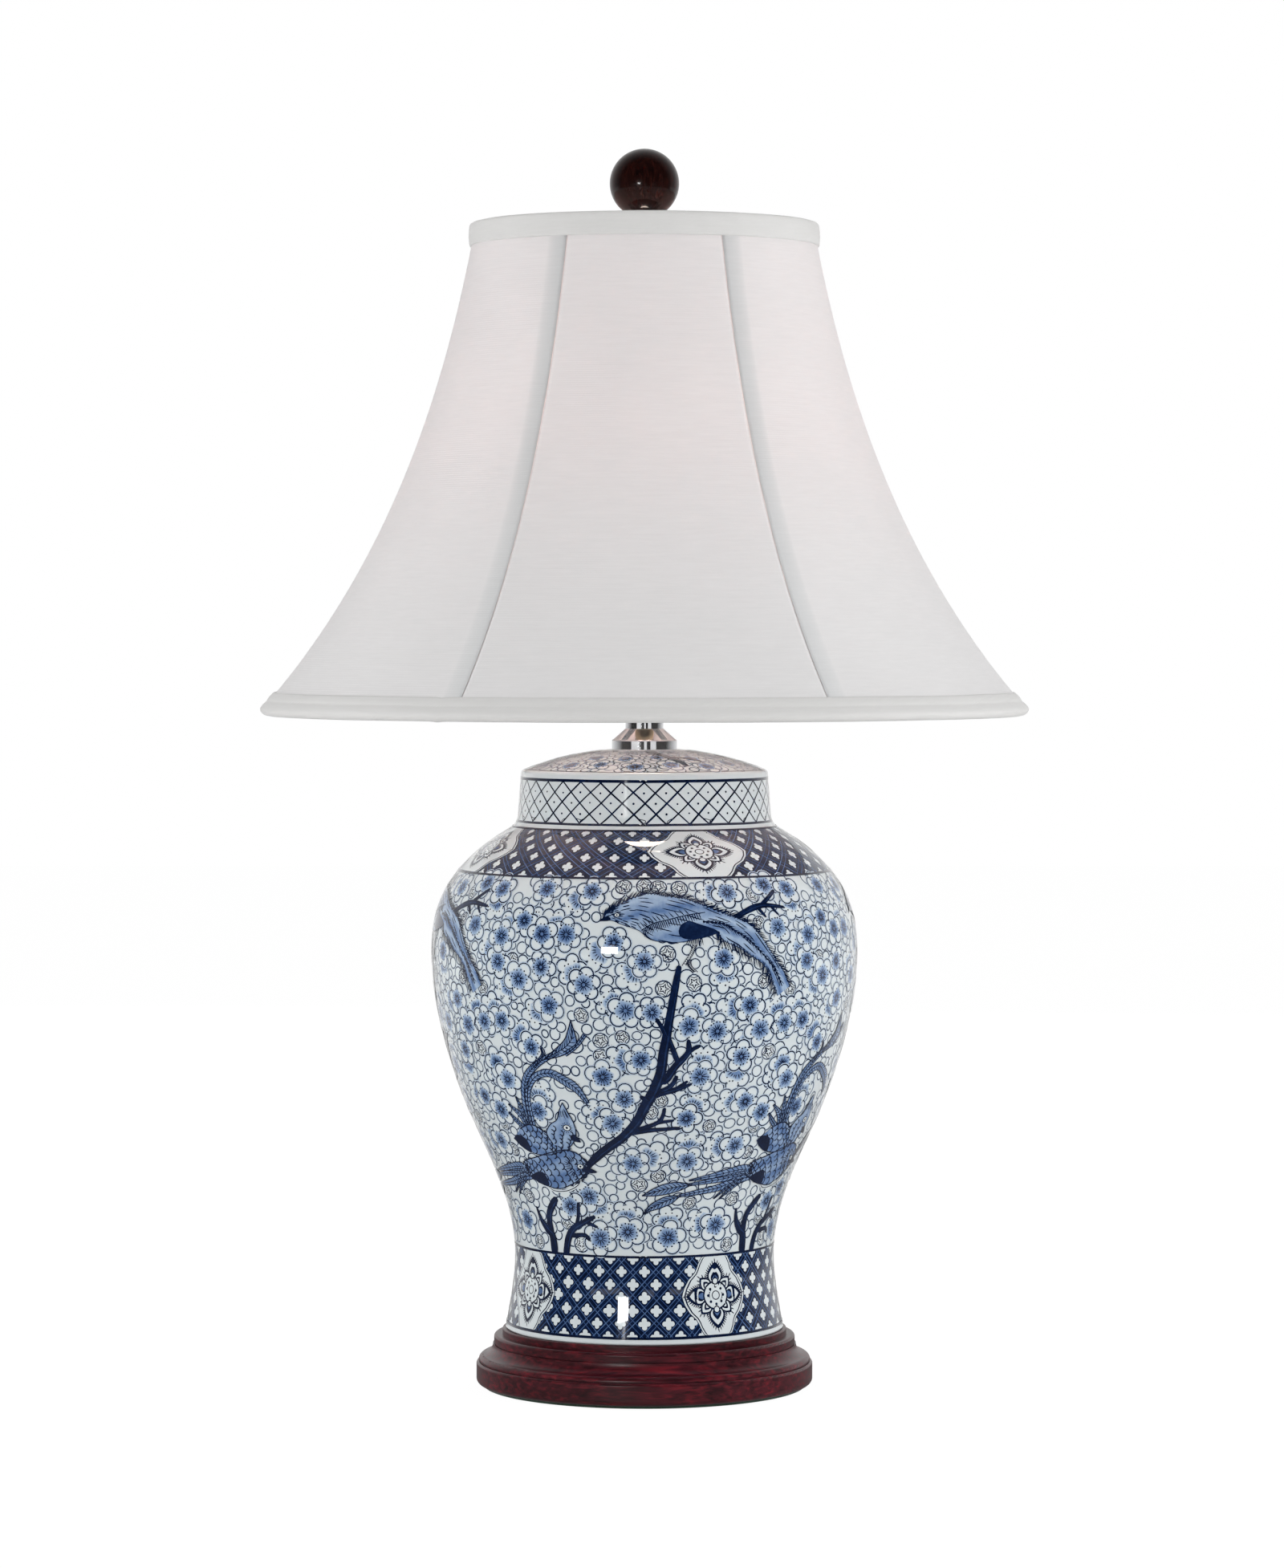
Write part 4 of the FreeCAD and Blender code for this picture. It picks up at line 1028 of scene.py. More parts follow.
def patch(paint, middle, edge, lift, tones, rings=2):
    # filled shape that can be seen whole from its middle; tones go from middle to edge
    middle = np.asarray(middle, float)
    edge = np.asarray(edge, float)
    n = len(edge)
    centre = addRows(paint, [middle[0]], middle[1], lift, tones[0])
    starts = []
    for ring in range(1, rings + 1):
        share = ring / rings
        spots = middle + (edge - middle) * share
        tone = np.interp(share, np.linspace(0, 1, len(tones)), tones)
        starts.append(addRows(paint, spots[:, 0], spots[:, 1], lift, tone))
    for k in range(n):
        after = (k + 1) % n
        paint["faces"].append((centre, starts[0] + k, starts[0] + after))
        for low, high in zip(starts, starts[1:]):
            paint["faces"].append((low + k, high + k, high + after, low + after))


def between(paint, first, second, lift, cobalt, across=4):
    # filled band between two lines with as many points
    first, second = np.asarray(first, float), np.asarray(second, float)
    n = len(first)
    starts = []
    for column in range(across + 1):
        share = column / across
        spots = first * (1 - share) + second * share
        tone = cobalt(np.linspace(0, 1, n), share) if callable(cobalt) else cobalt
        starts.append(addRows(paint, spots[:, 0], spots[:, 1], lift, tone))
    for low, high in zip(starts, starts[1:]):
        for k in range(n - 1):
            paint["faces"].append((low + k, low + k + 1, high + k + 1, high + k))


def layPaint(paint, name, copies=1):
    # makes the piece, with its drawing repeated around the jar
    drawn = np.vstack(paint["rows"])
    rows, faces = [], []
    for k in range(copies):
        rows.append(drawn + (2 * math.pi * k / copies, 0, 0, 0))
        faces += [tuple(v + k * len(drawn) for v in face) for face in paint["faces"]]
    rows = np.vstack(rows)
    points, normals = onJar(rows[:, 0], rows[:, 1], rows[:, 2])
    # turn every face outward
    corners = np.array([face[:3] for face in faces])
    across = np.cross(points[corners[:, 1]] - points[corners[:, 0]],
                      points[corners[:, 2]] - points[corners[:, 0]])
    wrong = (across * normals[corners[:, 0]]).sum(1) < 0
    faces = [face[::-1] if bad else face for face, bad in zip(faces, wrong)]
    smoothMesh(name, points, faces, cobaltGlaze, "lamp_body", 180,
               normals=normals, values={"cobalt": rows[:, 3]})
    print(name, len(faces), "faces")


def nearSpot(bearing, length, x, y):
    # millimetres right of and above a spot on the jar
    return np.stack([bearing + np.asarray(x) / jarRadius(length),
                     length + np.asarray(y, float) + 0 * np.asarray(x)], -1)


def onSpot(bearing, length, shape):
    return nearSpot(bearing, length, shape[:, 0], shape[:, 1])


def circle(steps):
    turns = np.linspace(0, 2 * math.pi, steps, endpoint=False)
    return np.stack([np.cos(turns), np.sin(turns)], 1)


def direction(angle):
    return np.array([math.cos(angle), math.sin(angle)])


def turned(shape, angle):
    (c, s) = direction(angle)
    return shape @ np.array([[c, s], [-s, c]])


def smoothLine(points, perSpan=6):
    # rounded line through (degrees, length) points
    p = np.array(points, float)
    scale = np.array([math.radians(1), 1.0])
    if len(p) == 2:
        share = np.linspace(0, 1, perSpan + 1)[:, None]
        return (p[0] + (p[1] - p[0]) * share) * scale
    ends = np.vstack([2 * p[0] - p[1], p, 2 * p[-1] - p[-2]])
    out = []
    for i in range(1, len(ends) - 2):
        a, b, c, d = ends[i - 1:i + 3]
        for k in range(perSpan):
            t = k / perSpan
            out.append(0.5 * (2 * b + (c - a) * t + (2 * a - 5 * b + 4 * c - d) * t * t
                              + (3 * b - a - 3 * c + d) * t ** 3))
    out.append(p[-1])
    return np.array(out) * scale


# Bands: collar lattice, shoulder trellis and foot trellis

bands = {
    "lattice": {"low": 314.2, "high": 337.6, "around": 36, "rise": 11.6, "line": 0.86,
                "rimLine": 343.9},
    "shoulder": {"low": 270.4, "high": 309.9, "around": 36, "rise": 14.6, "row": 285.5,
                 "medallions": 19.3, "reach": 27.0, "rosette": (20.5, 16.2), "leaf": (2.85, 3.35)},
    "foot": {"low": 3.8, "high": 48.9, "around": 36, "rise": 14.4, "row": 26.2,
             "medallions": 32.0, "reach": 18.4, "rosette": (19.2, 19.6), "leaf": (3.25, 3.35)},
}


def fullRing(length, count=288):
    turns = np.linspace(0, 2 * math.pi, count, endpoint=False)
    return np.stack([turns, np.full(count, float(length))], 1)


def ringLine(paint, length, width, lift, cobalt, wander=0.0):
    path = fullRing(length)
    if wander:
        path[:, 1] += wander * (np.sin(path[:, 0] * 5 + length) + 0.6 * np.sin(
            path[:, 0] * 13 + 2 * length))
    ribbon(paint, path, width, lift, cobalt, closed=True)


def handLine(points, sway):
    # a ruled line drawn by hand: it wanders a little
    path = np.array(points, float)
    shift = random.uniform(0, 6.28)
    share = np.linspace(0, 1, len(path))
    path[:, 0] += sway * np.sin(share * random.uniform(3, 6) + shift) / 75
    return path


def diagonal(start, way, slide, low, span, steps):
    return [(start + way * slide * s, low + span * s) for s in np.linspace(0, 1, steps)]


def paintLattice():
    look = bands["lattice"]
    paint = newPaint()
    low, high = look["low"], look["high"]
    cell = 2 * math.pi / look["around"]
    span = high - low
    slide = cell * span / look["rise"]
    for k in range(look["around"]):
        for way in (1, -1):
            start = k * cell + random.uniform(-0.3, 0.3) / 70
            tone = random.uniform(0.94, 1.0)
            line = handLine(diagonal(start, way, slide, low, span, 22), 0.45)
            ribbon(paint, line, look["line"] * random.uniform(0.85, 1.3), 0.05, tone)
            if random.random() < 0.35:  # some lines fork where they end
                fork = [(start, low + 0.2), (start + 0.012, low + 2.0),
                        (start + way * slide * 0.12, low + span * 0.13)]
                ribbon(paint, smoothLine([(math.degrees(a), b) for a, b in fork], 4), 0.4, 0.06,
                       tone, taper=(0.5, 1))
    half = look["rise"] / 2
    for row in range(1, int(span / half) + 1):
        length = low + half * row
        if length > high - 1.5:
            continue
        for k in range(look["around"]):
            # dots sit in the middle of the diamonds
            bearing = (k + (0.5 if row % 2 == 0 else 0.0)) * cell
            spot = random.uniform(-0.35, 0.35), random.uniform(-0.35, 0.35)
            edge = onSpot(bearing, length, circle(7) * random.uniform(0.50, 0.72) + spot)
            patch(paint, nearSpot(bearing, length, *spot), edge, 0.06, (0.95, 0.9), 1)
    ringLine(paint, low - 0.4, 1.4, 0.08, 0.98, 0.05)
    ringLine(paint, high + 0.4, 1.6, 0.08, 0.98, 0.05)
    ringLine(paint, look["rimLine"], 0.75, 0.05, 0.97, 0.03)
    layPaint(paint, "collarLattice")


def leafCross(width, height):
    # four round lobes, up, down and to the sides
    points = [0.58 * direction(math.pi / 2 * lobe) + 0.42 * direction(math.pi / 2 * lobe + a)
              for lobe in range(4) for a in np.linspace(-1.9, 1.9, 8)]
    return np.array(points) * (width, height)


def cartouche(reachX, reachY, grow):
    # ogee diamond with a notch halfway along each side
    quarter = [(1.0, 0.0), (0.93, 0.20), (0.80, 0.40), (0.62, 0.56), (0.56, 0.66), (0.50, 0.80),
               (0.42, 0.93), (0.36, 1.05)]
    side = quarter + [(-x, y) for x, y in quarter[::-1]]
    loop = np.array(side + [(-x, -y) for x, y in side]) * (reachX + grow, reachY + grow * 0.6)
    loop[:, 1] = np.clip(loop[:, 1], -reachY, reachY)
    after = np.roll(loop, -1, 0)
    return np.stack([loop + (after - loop) * s for s in (0, 0.34, 0.67)], 1).reshape(-1, 2)


def petalWidth(share):
    return math.sin(math.pi * share ** 0.75) ** 0.8


def petalShape(length, width, turn, start):
    side = [(start + length * s, width * petalWidth(s) / 2) for s in np.linspace(0, 1, 9)]
    return turned(np.array(side + [(x, -y) for x, y in side[::-1][1:-1]]), turn)


def rosette(paint, bearing, length, sizeX, sizeY, lift):
    # lace of four long and four short petals round a ringed heart
    def put(points):
        return onSpot(bearing, length, np.asarray(points, float) * (sizeX, sizeY))

    def fill(shape, middle, tone, up, rings=1):
        patch(paint, put([middle])[0], put(shape), lift + up, (tone, tone), rings)

    def spot(middle, size, tone, up, steps=10):
        fill(circle(steps) * size + middle, middle, tone, up)

    for arm in (1, 3, 5, 7, 0, 2, 4, 6):
        turn = math.pi / 4 * arm
        main = arm % 2 == 0
        reach, wide, start, teeth = (0.62, 0.52, 0.33, 9) if main else (0.42, 0.36, 0.30, 5)
        for k in range(-teeth, teeth + 1):
            s = 1 - 0.80 * abs(k) / teeth
            side = 1 if k >= 0 else -1
            root = np.array([start + reach * s, side * wide * 0.5 * petalWidth(min(s, 0.999))])
            tip = root + (0.085 * s + 0.015, side * 0.085 * (1.2 - s))
            ends = turned(np.array([root, (root + tip) / 2, tip]), turn)
            ribbon(paint, put(ends), 0.62, lift, 0.97, taper=(1, 0.25))
        for share, tone, up in ((1.0, 0.97, 0.006), (0.80, 0.0, 0.014), (0.56, 0.97, 0.022),
                                (0.36, 0.62 if main else 0.0, 0.030)):
            shape = petalShape(reach * share, wide * share, turn, start + 0.04 * (1 - share))
            fill(shape, shape.mean(0), tone, up)
    for size, tone, up in ((0.42, 0.97, 0.040), (0.37, 0.0, 0.046)):
        fill(circle(24) * size, (0, 0), tone, up, 2)
    ribbon(paint, put(circle(24) * 0.12), 0.55, lift + 0.055, 0.97, closed=True)
    for k in range(8):
        spot(0.25 * direction(math.pi / 4 * k), 0.045, 0.97, 0.055, 6)
    for side in (1, -1):
        spot((0.0, 0.40 * side), 0.11, 0.97, 0.060)
        spot((0.0, 0.40 * side), 0.075, 0.0, 0.066)


def paintGround(paint, low, high):
    around = jar["around"]
    starts = [addRows(paint, fullRing(row, around)[:, 0], row, 0.03, 0.96)
              for row in np.linspace(low, high, 24)]
    for lowRow, highRow in zip(starts, starts[1:]):
        for k in range(around):
            after = (k + 1) % around
            paint["faces"].append((lowRow + k, lowRow + after, highRow + after, highRow + k))


def paintMedallion(paint, centre, middle, reachX, reachY, size):
    # nested cartouches, each a little smaller, then the lace in the middle; they keep their
    # width in millimetres up the sloping shoulder
    radius = float(jarRadius(middle))
    for grow, lift, tone in ((2.6, 0.14, 0.93), (2.0, 0.17, 0.0), (0.9, 0.20, 0.94),
                             (0.0, 0.23, 0.0)):
        loop = cartouche(reachX, reachY, grow)
        edge = np.stack([centre + loop[:, 0] / radius, middle + loop[:, 1]], 1)
        patch(paint, (centre, middle), edge, lift, (tone, tone), 5)
    rosette(paint, centre, middle, *size, 0.26)


def paintTrellis(name):
    look = bands[name]
    paint = newPaint()
    low, high = look["low"], look["high"]
    paintGround(paint, low, high)
    cell = 2 * math.pi / look["around"]
    span = high - low
    slide = cell * span / look["rise"]
    # two pale lines run inside each dark bar
    phase = cell * ((low - look["row"]) / look["rise"])
    for k in range(look["around"]):
        for way in (1, -1):
            for side in (-1, 1):
                start = (k + 0.5) * cell + way * phase + side * cell * 0.115
                line = handLine(diagonal(start, way, slide, low + 0.7, span - 1.4, 26), 0.25)
                ribbon(paint, line, 0.42 * random.uniform(0.75, 1.3), 0.07,
                       random.uniform(0.58, 0.72))
    half = look["rise"] / 2
    rowCount = int(span / half) + 2
    middle = (low + high) / 2
    for row in range(-rowCount, rowCount + 1):
        length = look["row"] + half * row
        if length < low - half * 0.6 or length > high + half * 0.6:
            continue
        for k in range(look["around"]):
            bearing = (k + 0.5 * (row % 2)) * cell
            grow = float(jarRadius(length)) / float(jarRadius(middle))
            shape = leafCross(look["leaf"][0] * grow, look["leaf"][1])
            shape = shape * random.uniform(0.9, 1.06)
            shape = turned(shape, random.uniform(-0.08, 0.08))
            shape[:, 1] = np.clip(shape[:, 1] + length, low + 0.9, high - 0.9) - length
            if np.ptp(shape[:, 1]) < 1.0:
                continue
            spot = onSpot(bearing, length, shape)
            patch(paint, spot.mean(0), spot, 0.10, (0, 0), 1)
    for k in range(4):
        paintMedallion(paint, math.radians(look["medallions"] + 90 * k), middle, look["reach"],
                       span / 2 - 0.9, look["rosette"])
    for edge, width in ((low, 1.3), (high, 1.0)):
        ringLine(paint, edge, width, 0.26, 0.98, 0.04)
    layPaint(paint, name + "Trellis")


paintLattice()
paintTrellis("shoulder")
paintTrellis("foot")
print("bands painted")


# Blossoms, buds, branches and birds; the whole drawing repeats four times around

repeats = 4
lifts = {"bud": 0.012, "budStep": 0.022, "blossom": 0.08, "step": 0.05, "branch": 0.29,
         "bird": 0.33}

blossoms = {
    "radius": 9.7,
    "line": 0.66,
    "scatter": 2200,
    "budSizes": (2.7, 4.5),
    "starSizes": (3.9, 4.8),
    "lowest": 54,  # no blossom peeps out below or above these
    "highest": 266,
    # shares of a blossom's radius: its blue heart, and where its dots and rays lie
    "whole": {"heart": 0.62, "dots": (0.48, 0.62), "rays": (0.10, 0.44)},
    "peeping": {"heart": 0.80, "dots": (0.80, 0.94), "rays": (0.42, 0.74)},
    # white places left open: under the top bird, and beside the lower one's beak
    "open": [[(-15, 250), (-12, 244), (-8, 238), (-4, 232), (2, 227), (8, 226), (10, 232),
              (3, 234), (-2, 240), (-8, 246)],
             [(-19, 101), (-10, 108), (-4, 116), (-2, 113), (-9, 104), (-14, 97)]],
    # degrees round, millimetres up, and where a second blossom peeps out behind, or none
    "fronts": [
        (37, 265, None), (-29, 263, None), (-15, 262, -144), (-45, 262, -94), (24, 261, 179),
        (-34, 244, -156), (38, 240, None), (-21, 237, 145), (-28, 237, 138), (-41, 235, -133),
        (-8, 233, -146), (21, 224, -85), (0, 223, -134), (-42, 221, 128), (-28, 219, None),
        (-35, 212, -151), (-16, 210, 132), (-26, 198, -151), (29, 198, -170), (-5, 196, 149),
        (2, 195, None), (-42, 188, 130), (12, 187, 76), (41, 187, 132), (20, 184, None),
        (33, 184, -137), (-33, 174, 132), (28, 169, -101), (-1, 168, -179), (43, 163, None),
        (-12, 158, None), (16, 158, 85), (-44, 154, 157), (-6, 145, None), (32, 142, 179),
        (-35, 136, 70), (39, 135, None), (13, 133, 66), (-10, 130, 142), (32, 115, -179),
        (15, 106, 89), (-4, 105, 24), (-22, 84, -53), (-31, 77, None), (31, 66, 169),
        (-7, 63, 90), (10, 60, 92), (-19, 59, None)],
    "stars": [
        (-6, 265), (0, 267), (4, 265), (10, 264), (6, 227), (13, 211), (5, 208), (33, 211),
        (-6, 181), (-12, 179), (32, 259), (32, 243), (42, 206), (-17, 193), (-12, 170),
        (5, 144), (2, 137), (21, 128), (38, 126), (38, 110), (5, 97), (-2, 92), (18, 80),
        (37, 81), (38, 54), (-34, 67), (-28, 55), (-37, 222), (37, 171)],
    "buds": [
        (14, 265, 2.3), (-11, 252, 3.0), (-13, 247, 2.7), (-8, 218, 3.3), (-11, 219, 2.7),
        (-3, 209, 3.3), (-1, 207, 2.2), (1, 207, 2.0), (-12, 188, 3.5), (-9, 185, 2.7),
        (0, 180, 3.3), (3, 183, 2.8), (-2, 182, 2.5), (-1, 187, 2.3), (27, 224, 2.5),
        (28, 218, 3.0), (26, 212, 2.3), (11, 204, 2.0), (17, 202, 2.0), (28, 184, 3.2),
        (25, 185, 2.3), (34, 166, 2.5), (-38, 257, 3.0), (-35, 255, 2.1), (-40, 252, 1.9),
        (-34, 229, 3.2), (-32, 233, 2.3), (-37, 230, 2.1), (-25, 228, 2.5), (-23, 206, 3.3),
        (-20, 201, 2.8), (-24, 211, 2.5), (-16, 247, 2.3), (-25, 182, 3.2), (-23, 186, 2.7),
        (-28, 182, 2.1), (41, 224, 2.1), (41, 218, 2.5), (43, 214, 1.9), (43, 180, 2.1),
        (-41, 167, 2.5), (-41, 173, 2.0), (-35, 196, 2.5), (-37, 197, 2.0), (-23, 161, 2.7),
        (-20, 141, 2.7), (-17, 122, 3.1), (-14, 119, 2.3), (-17, 115, 2.1), (-19, 112, 2.4),
        (-18, 128, 1.7), (-13, 194, 2.7), (-4, 119, 3.7), (-1, 118, 2.4), (-8, 114, 2.4),
        (6, 113, 3.4), (7, 106, 2.7), (9, 116, 2.4), (10, 159, 2.4), (-18, 167, 2.7),
        (-20, 161, 2.6), (-1, 153, 3.1), (1, 155, 2.1), (12, 164, 2.1), (14, 167, 1.7),
        (34, 160, 3.1), (32, 156, 2.3), (40, 146, 3.1), (39, 152, 2.3), (28, 129, 3.2),
        (32, 130, 2.3), (25, 132, 2.1), (27, 102, 3.4), (31, 102, 2.3), (24, 106, 2.1),
        (35, 103, 1.7), (-12, 97, 3.1), (-13, 88, 3.4), (-9, 91, 2.3), (-17, 92, 2.6),
        (-12, 83, 2.3), (-5, 85, 2.6), (-17, 71, 3.2), (-12, 78, 2.3), (2, 71, 3.3),
        (-1, 66, 3.2), (4, 63, 3.7), (0, 60, 2.8), (3, 56, 2.3), (42, 144, 2.1), (24, 56, 3.3),
        (29, 55, 2.5), (21, 59, 2.3), (-40, 249, 1.7), (-40, 194, 2.7), (36, 177, 2.3),
        (-29, 176, 2.3), (-36, 167, 2.5)],
}


def petalOutline(radius, petals, spin):
    # round petals that meet in notches
    points = []
    away, size = 0.60 * radius, 0.415 * radius
    sweep = math.radians(104)
    for petal in range(petals):
        turn = spin + 2 * math.pi * petal / petals
        own = size * random.uniform(0.94, 1.06)
        for k in range(9):
            points.append(away * direction(turn) + own * direction(turn - sweep + sweep * k / 4))
    return np.array(points)


def drawBlossom(lines, washes, bearing, length, radius, layer, leaning=None):
    # leaning points away from the blossom in front, for one that peeps out behind it
    look = blossoms["whole" if leaning is None else "peeping"]
    petals = 5 if random.random() < 0.6 else 6
    spin = random.uniform(0, 6.28)
    shape = petalOutline(radius, petals, spin)
    base = lifts["blossom"] + lifts["step"] * layer
    heart = np.zeros(2) if leaning is None else 0.45 * radius * direction(leaning)

    def put(points):
        return onSpot(bearing, length, np.asarray(points, float))

    patch(washes, put([(0, 0)])[0], put(shape), base, (0, 0), 3)
    deep = random.uniform(0.45, 0.55)
    uneven = 1 + 0.10 * np.sin(fullRing(0, 20)[:, 0] * petals + spin)
    disc = circle(20) * (look["heart"] * radius * uneven)[:, None] + heart
    disc *= np.minimum(1, 0.72 * radius / np.maximum(np.hypot(*disc.T), 1e-6))[:, None]
    patch(washes, put([heart])[0], put(disc), base + 0.015,
          (deep + 0.08, deep + 0.02, deep, deep * 0.78, 0.10), 4)
    tone = random.uniform(0.92, 1.0)
    ribbon(washes, put(shape), 1.7, base + 0.008, 0.17, closed=True)
    ribbon(lines, put(shape), blossoms["line"] * random.uniform(0.85, 1.2), base + 0.022, tone,
           closed=True)
    dots = random.randint(14, 18)
    for k in range(dots):
        ray = direction(2 * math.pi * (k + random.uniform(-0.2, 0.2)) / dots)
        spot = heart + radius * random.uniform(*look["dots"]) * ray
        if np.hypot(*spot) > 0.78 * radius:
            continue
        corners = np.array([(1, 0), (0.3, 0.95), (-0.8, 0.6), (-0.8, -0.6), (0.3, -0.95)])
        patch(lines, put([spot])[0], put(spot + corners * random.uniform(0.46, 0.60)),
              base + 0.03, (0.98, 0.96), 1)
    strokes = random.randint(12, 15) if leaning is None else 20
    for k in range(strokes):
        ray = direction(2 * math.pi * (k + random.uniform(-0.2, 0.2)) / strokes)
        first = heart + ray * radius * look["rays"][0]
        last = heart + ray * radius * look["rays"][1] * random.uniform(0.8, 1.0)
        if np.hypot(*last) < 0.72 * radius:
            ribbon(lines, put([first, (first + last) / 2, last]), 0.60, base + 0.03, 0.97,
                   taper=(1, 0.4))
    if random.random() < 0.4 and leaning is None:
        ribbon(lines, put(circle(10) * radius * 0.12), 0.50, base + 0.034, 0.98, closed=True)


def drawBud(lines, washes, bearing, length, size, layer=0):
    shape = circle(14) * (size, size * random.uniform(0.85, 1.0))
    edge = onSpot(bearing, length, turned(shape, random.uniform(0, 3.14)))
    base = lifts["bud"] + lifts["budStep"] * layer
    patch(washes, nearSpot(bearing, length, 0.0, 0.0), edge, base, (0, 0), 1)
    ribbon(washes, edge, 1.3, base + 0.005, 0.15, closed=True)
    ribbon(lines, edge, blossoms["line"] * random.uniform(0.75, 1.1), base + 0.010,
           random.uniform(0.92, 1.0), closed=True)


def drawStar(lines, washes, bearing, length, size):
    # round bud with a five-pointed star and a scalloped edge
    drawBud(lines, washes, bearing, length, size, 2)
    spin = random.uniform(0, 6.28)
    up = lifts["bud"] + 0.06
    star = [size * (0.62 if k % 2 == 0 else 0.26) * direction(spin + math.pi * k / 5)
            for k in range(10)]
    ribbon(lines, onSpot(bearing, length, np.array(star)), 0.80, up, 0.99, closed=True)
    swing = np.linspace(-0.62, 0.62, 6)
    reach = size * (0.62 + 0.34 * (swing / 0.62) ** 2)
    for k in range(5):
        a = spin + math.pi * (2 * k + 1) / 5 + swing
        arc = np.stack([reach * np.cos(a), reach * np.sin(a)], 1)
        ribbon(lines, onSpot(bearing, length, arc), 0.45, up, 0.97)


def inside(loop, x, y):
    hit = False
    for (x1, y1), (x2, y2) in zip(loop, loop[1:] + loop[:1]):
        if (y1 > y) != (y2 > y) and x < (x2 - x1) * (y - y1) / (y2 - y1) + x1:
            hit = not hit
    return hit


def distances(bearing, length, others, repeat):
    # millimetres from one spot to many, on a drawing that repeats around the jar
    others = np.asarray(others, float)
    away = (others[:, 0] - bearing + repeat / 2) % repeat - repeat / 2
    return np.hypot(away * jarRadius(length), others[:, 1] - length)


def chooseLayers(circles, repeat, count, touch):
    # circles that overlap get different layers, so that one hides part of the other
    chosen = []
    for k, (bearing, length, radius) in enumerate(circles):
        used = set()
        if k:
            near = distances(bearing, length, circles[:k], repeat)
            reach = touch * (np.array(circles[:k])[:, 2] + radius)
            used = {chosen[j] for j in np.flatnonzero(near < reach)}
        free = [layer for layer in range(count) if layer not in used]
        chosen.append(free[0] if free else random.randrange(count))
    return chosen


def scatterBuds(circles, buds, repeat, low, high, tries):
    # small buds fill what the blossoms leave open
    found = list(buds)
    for _ in range(tries):
        bearing = random.uniform(-repeat / 2, repeat / 2)
        length = random.uniform(low, high)
        radius = random.uniform(*blossoms["budSizes"])
        if (distances(bearing, length, circles, repeat) < 0.95 * np.array(circles)[:, 2]).any():
            continue
        if found and (distances(bearing, length, found, repeat)
                      < 0.78 * (np.array(found)[:, 2] + radius)).any():
            continue
        if any(inside(loop, math.degrees(bearing), length) for loop in blossoms["open"]):
            continue
        found.append((bearing, length, radius))
    return found


def paintBlossoms():
    lines, washes, budLines, budWashes = (newPaint() for _ in range(4))
    repeat = 2 * math.pi / repeats
    circles, leans = [], []
    for degrees, length, behind in blossoms["fronts"]:
        radius = blossoms["radius"] * random.uniform(0.93, 1.05)
        if behind is not None:
            away = radius * 1.12 * direction(math.radians(behind))
            spot = nearSpot(math.radians(degrees), length, *away)
            if blossoms["lowest"] < spot[1] < blossoms["highest"]:
                circles.append((float(spot[0]), float(spot[1]), radius * 0.97))
                leans.append(math.radians(behind) + math.pi)
    backs = len(circles)
    circles += [(math.radians(degrees), length, blossoms["radius"] * random.uniform(0.93, 1.05))
                for degrees, length, behind in blossoms["fronts"]]
    leans += [None] * len(blossoms["fronts"])
    layers = chooseLayers(circles[:backs], repeat, 2, 0.97)
    layers += [2 + layer for layer in chooseLayers(circles[backs:], repeat, 2, 0.97)]
    for (bearing, length, radius), lean, layer in zip(circles, leans, layers):
        drawBlossom(lines, washes, bearing, length, radius, layer, lean)
    stars = [(math.radians(degrees), min(length, 265.6), random.uniform(*blossoms["starSizes"]))
             for degrees, length in blossoms["stars"]]
    for bearing, length, size in stars:
        drawStar(budLines, budWashes, bearing, length, size)
    buds = [(math.radians(d), length, size * 1.08) for d, length, size in blossoms["buds"]]
    buds = scatterBuds(circles + stars, buds, repeat, 52.5, 268.0, blossoms["scatter"])
    for (bearing, length, size), layer in zip(buds, chooseLayers(buds, repeat, 3, 1.0)):
        drawBud(budLines, budWashes, bearing, length, size, layer)
    print(len(circles), "blossoms and", len(buds), "buds on each quarter")
    for paint, name in ((budWashes, "budWash"), (budLines, "budLines"),
                        (washes, "blossomWash"), (lines, "blossomLines")):
        layPaint(paint, name, repeats)


paintBlossoms()

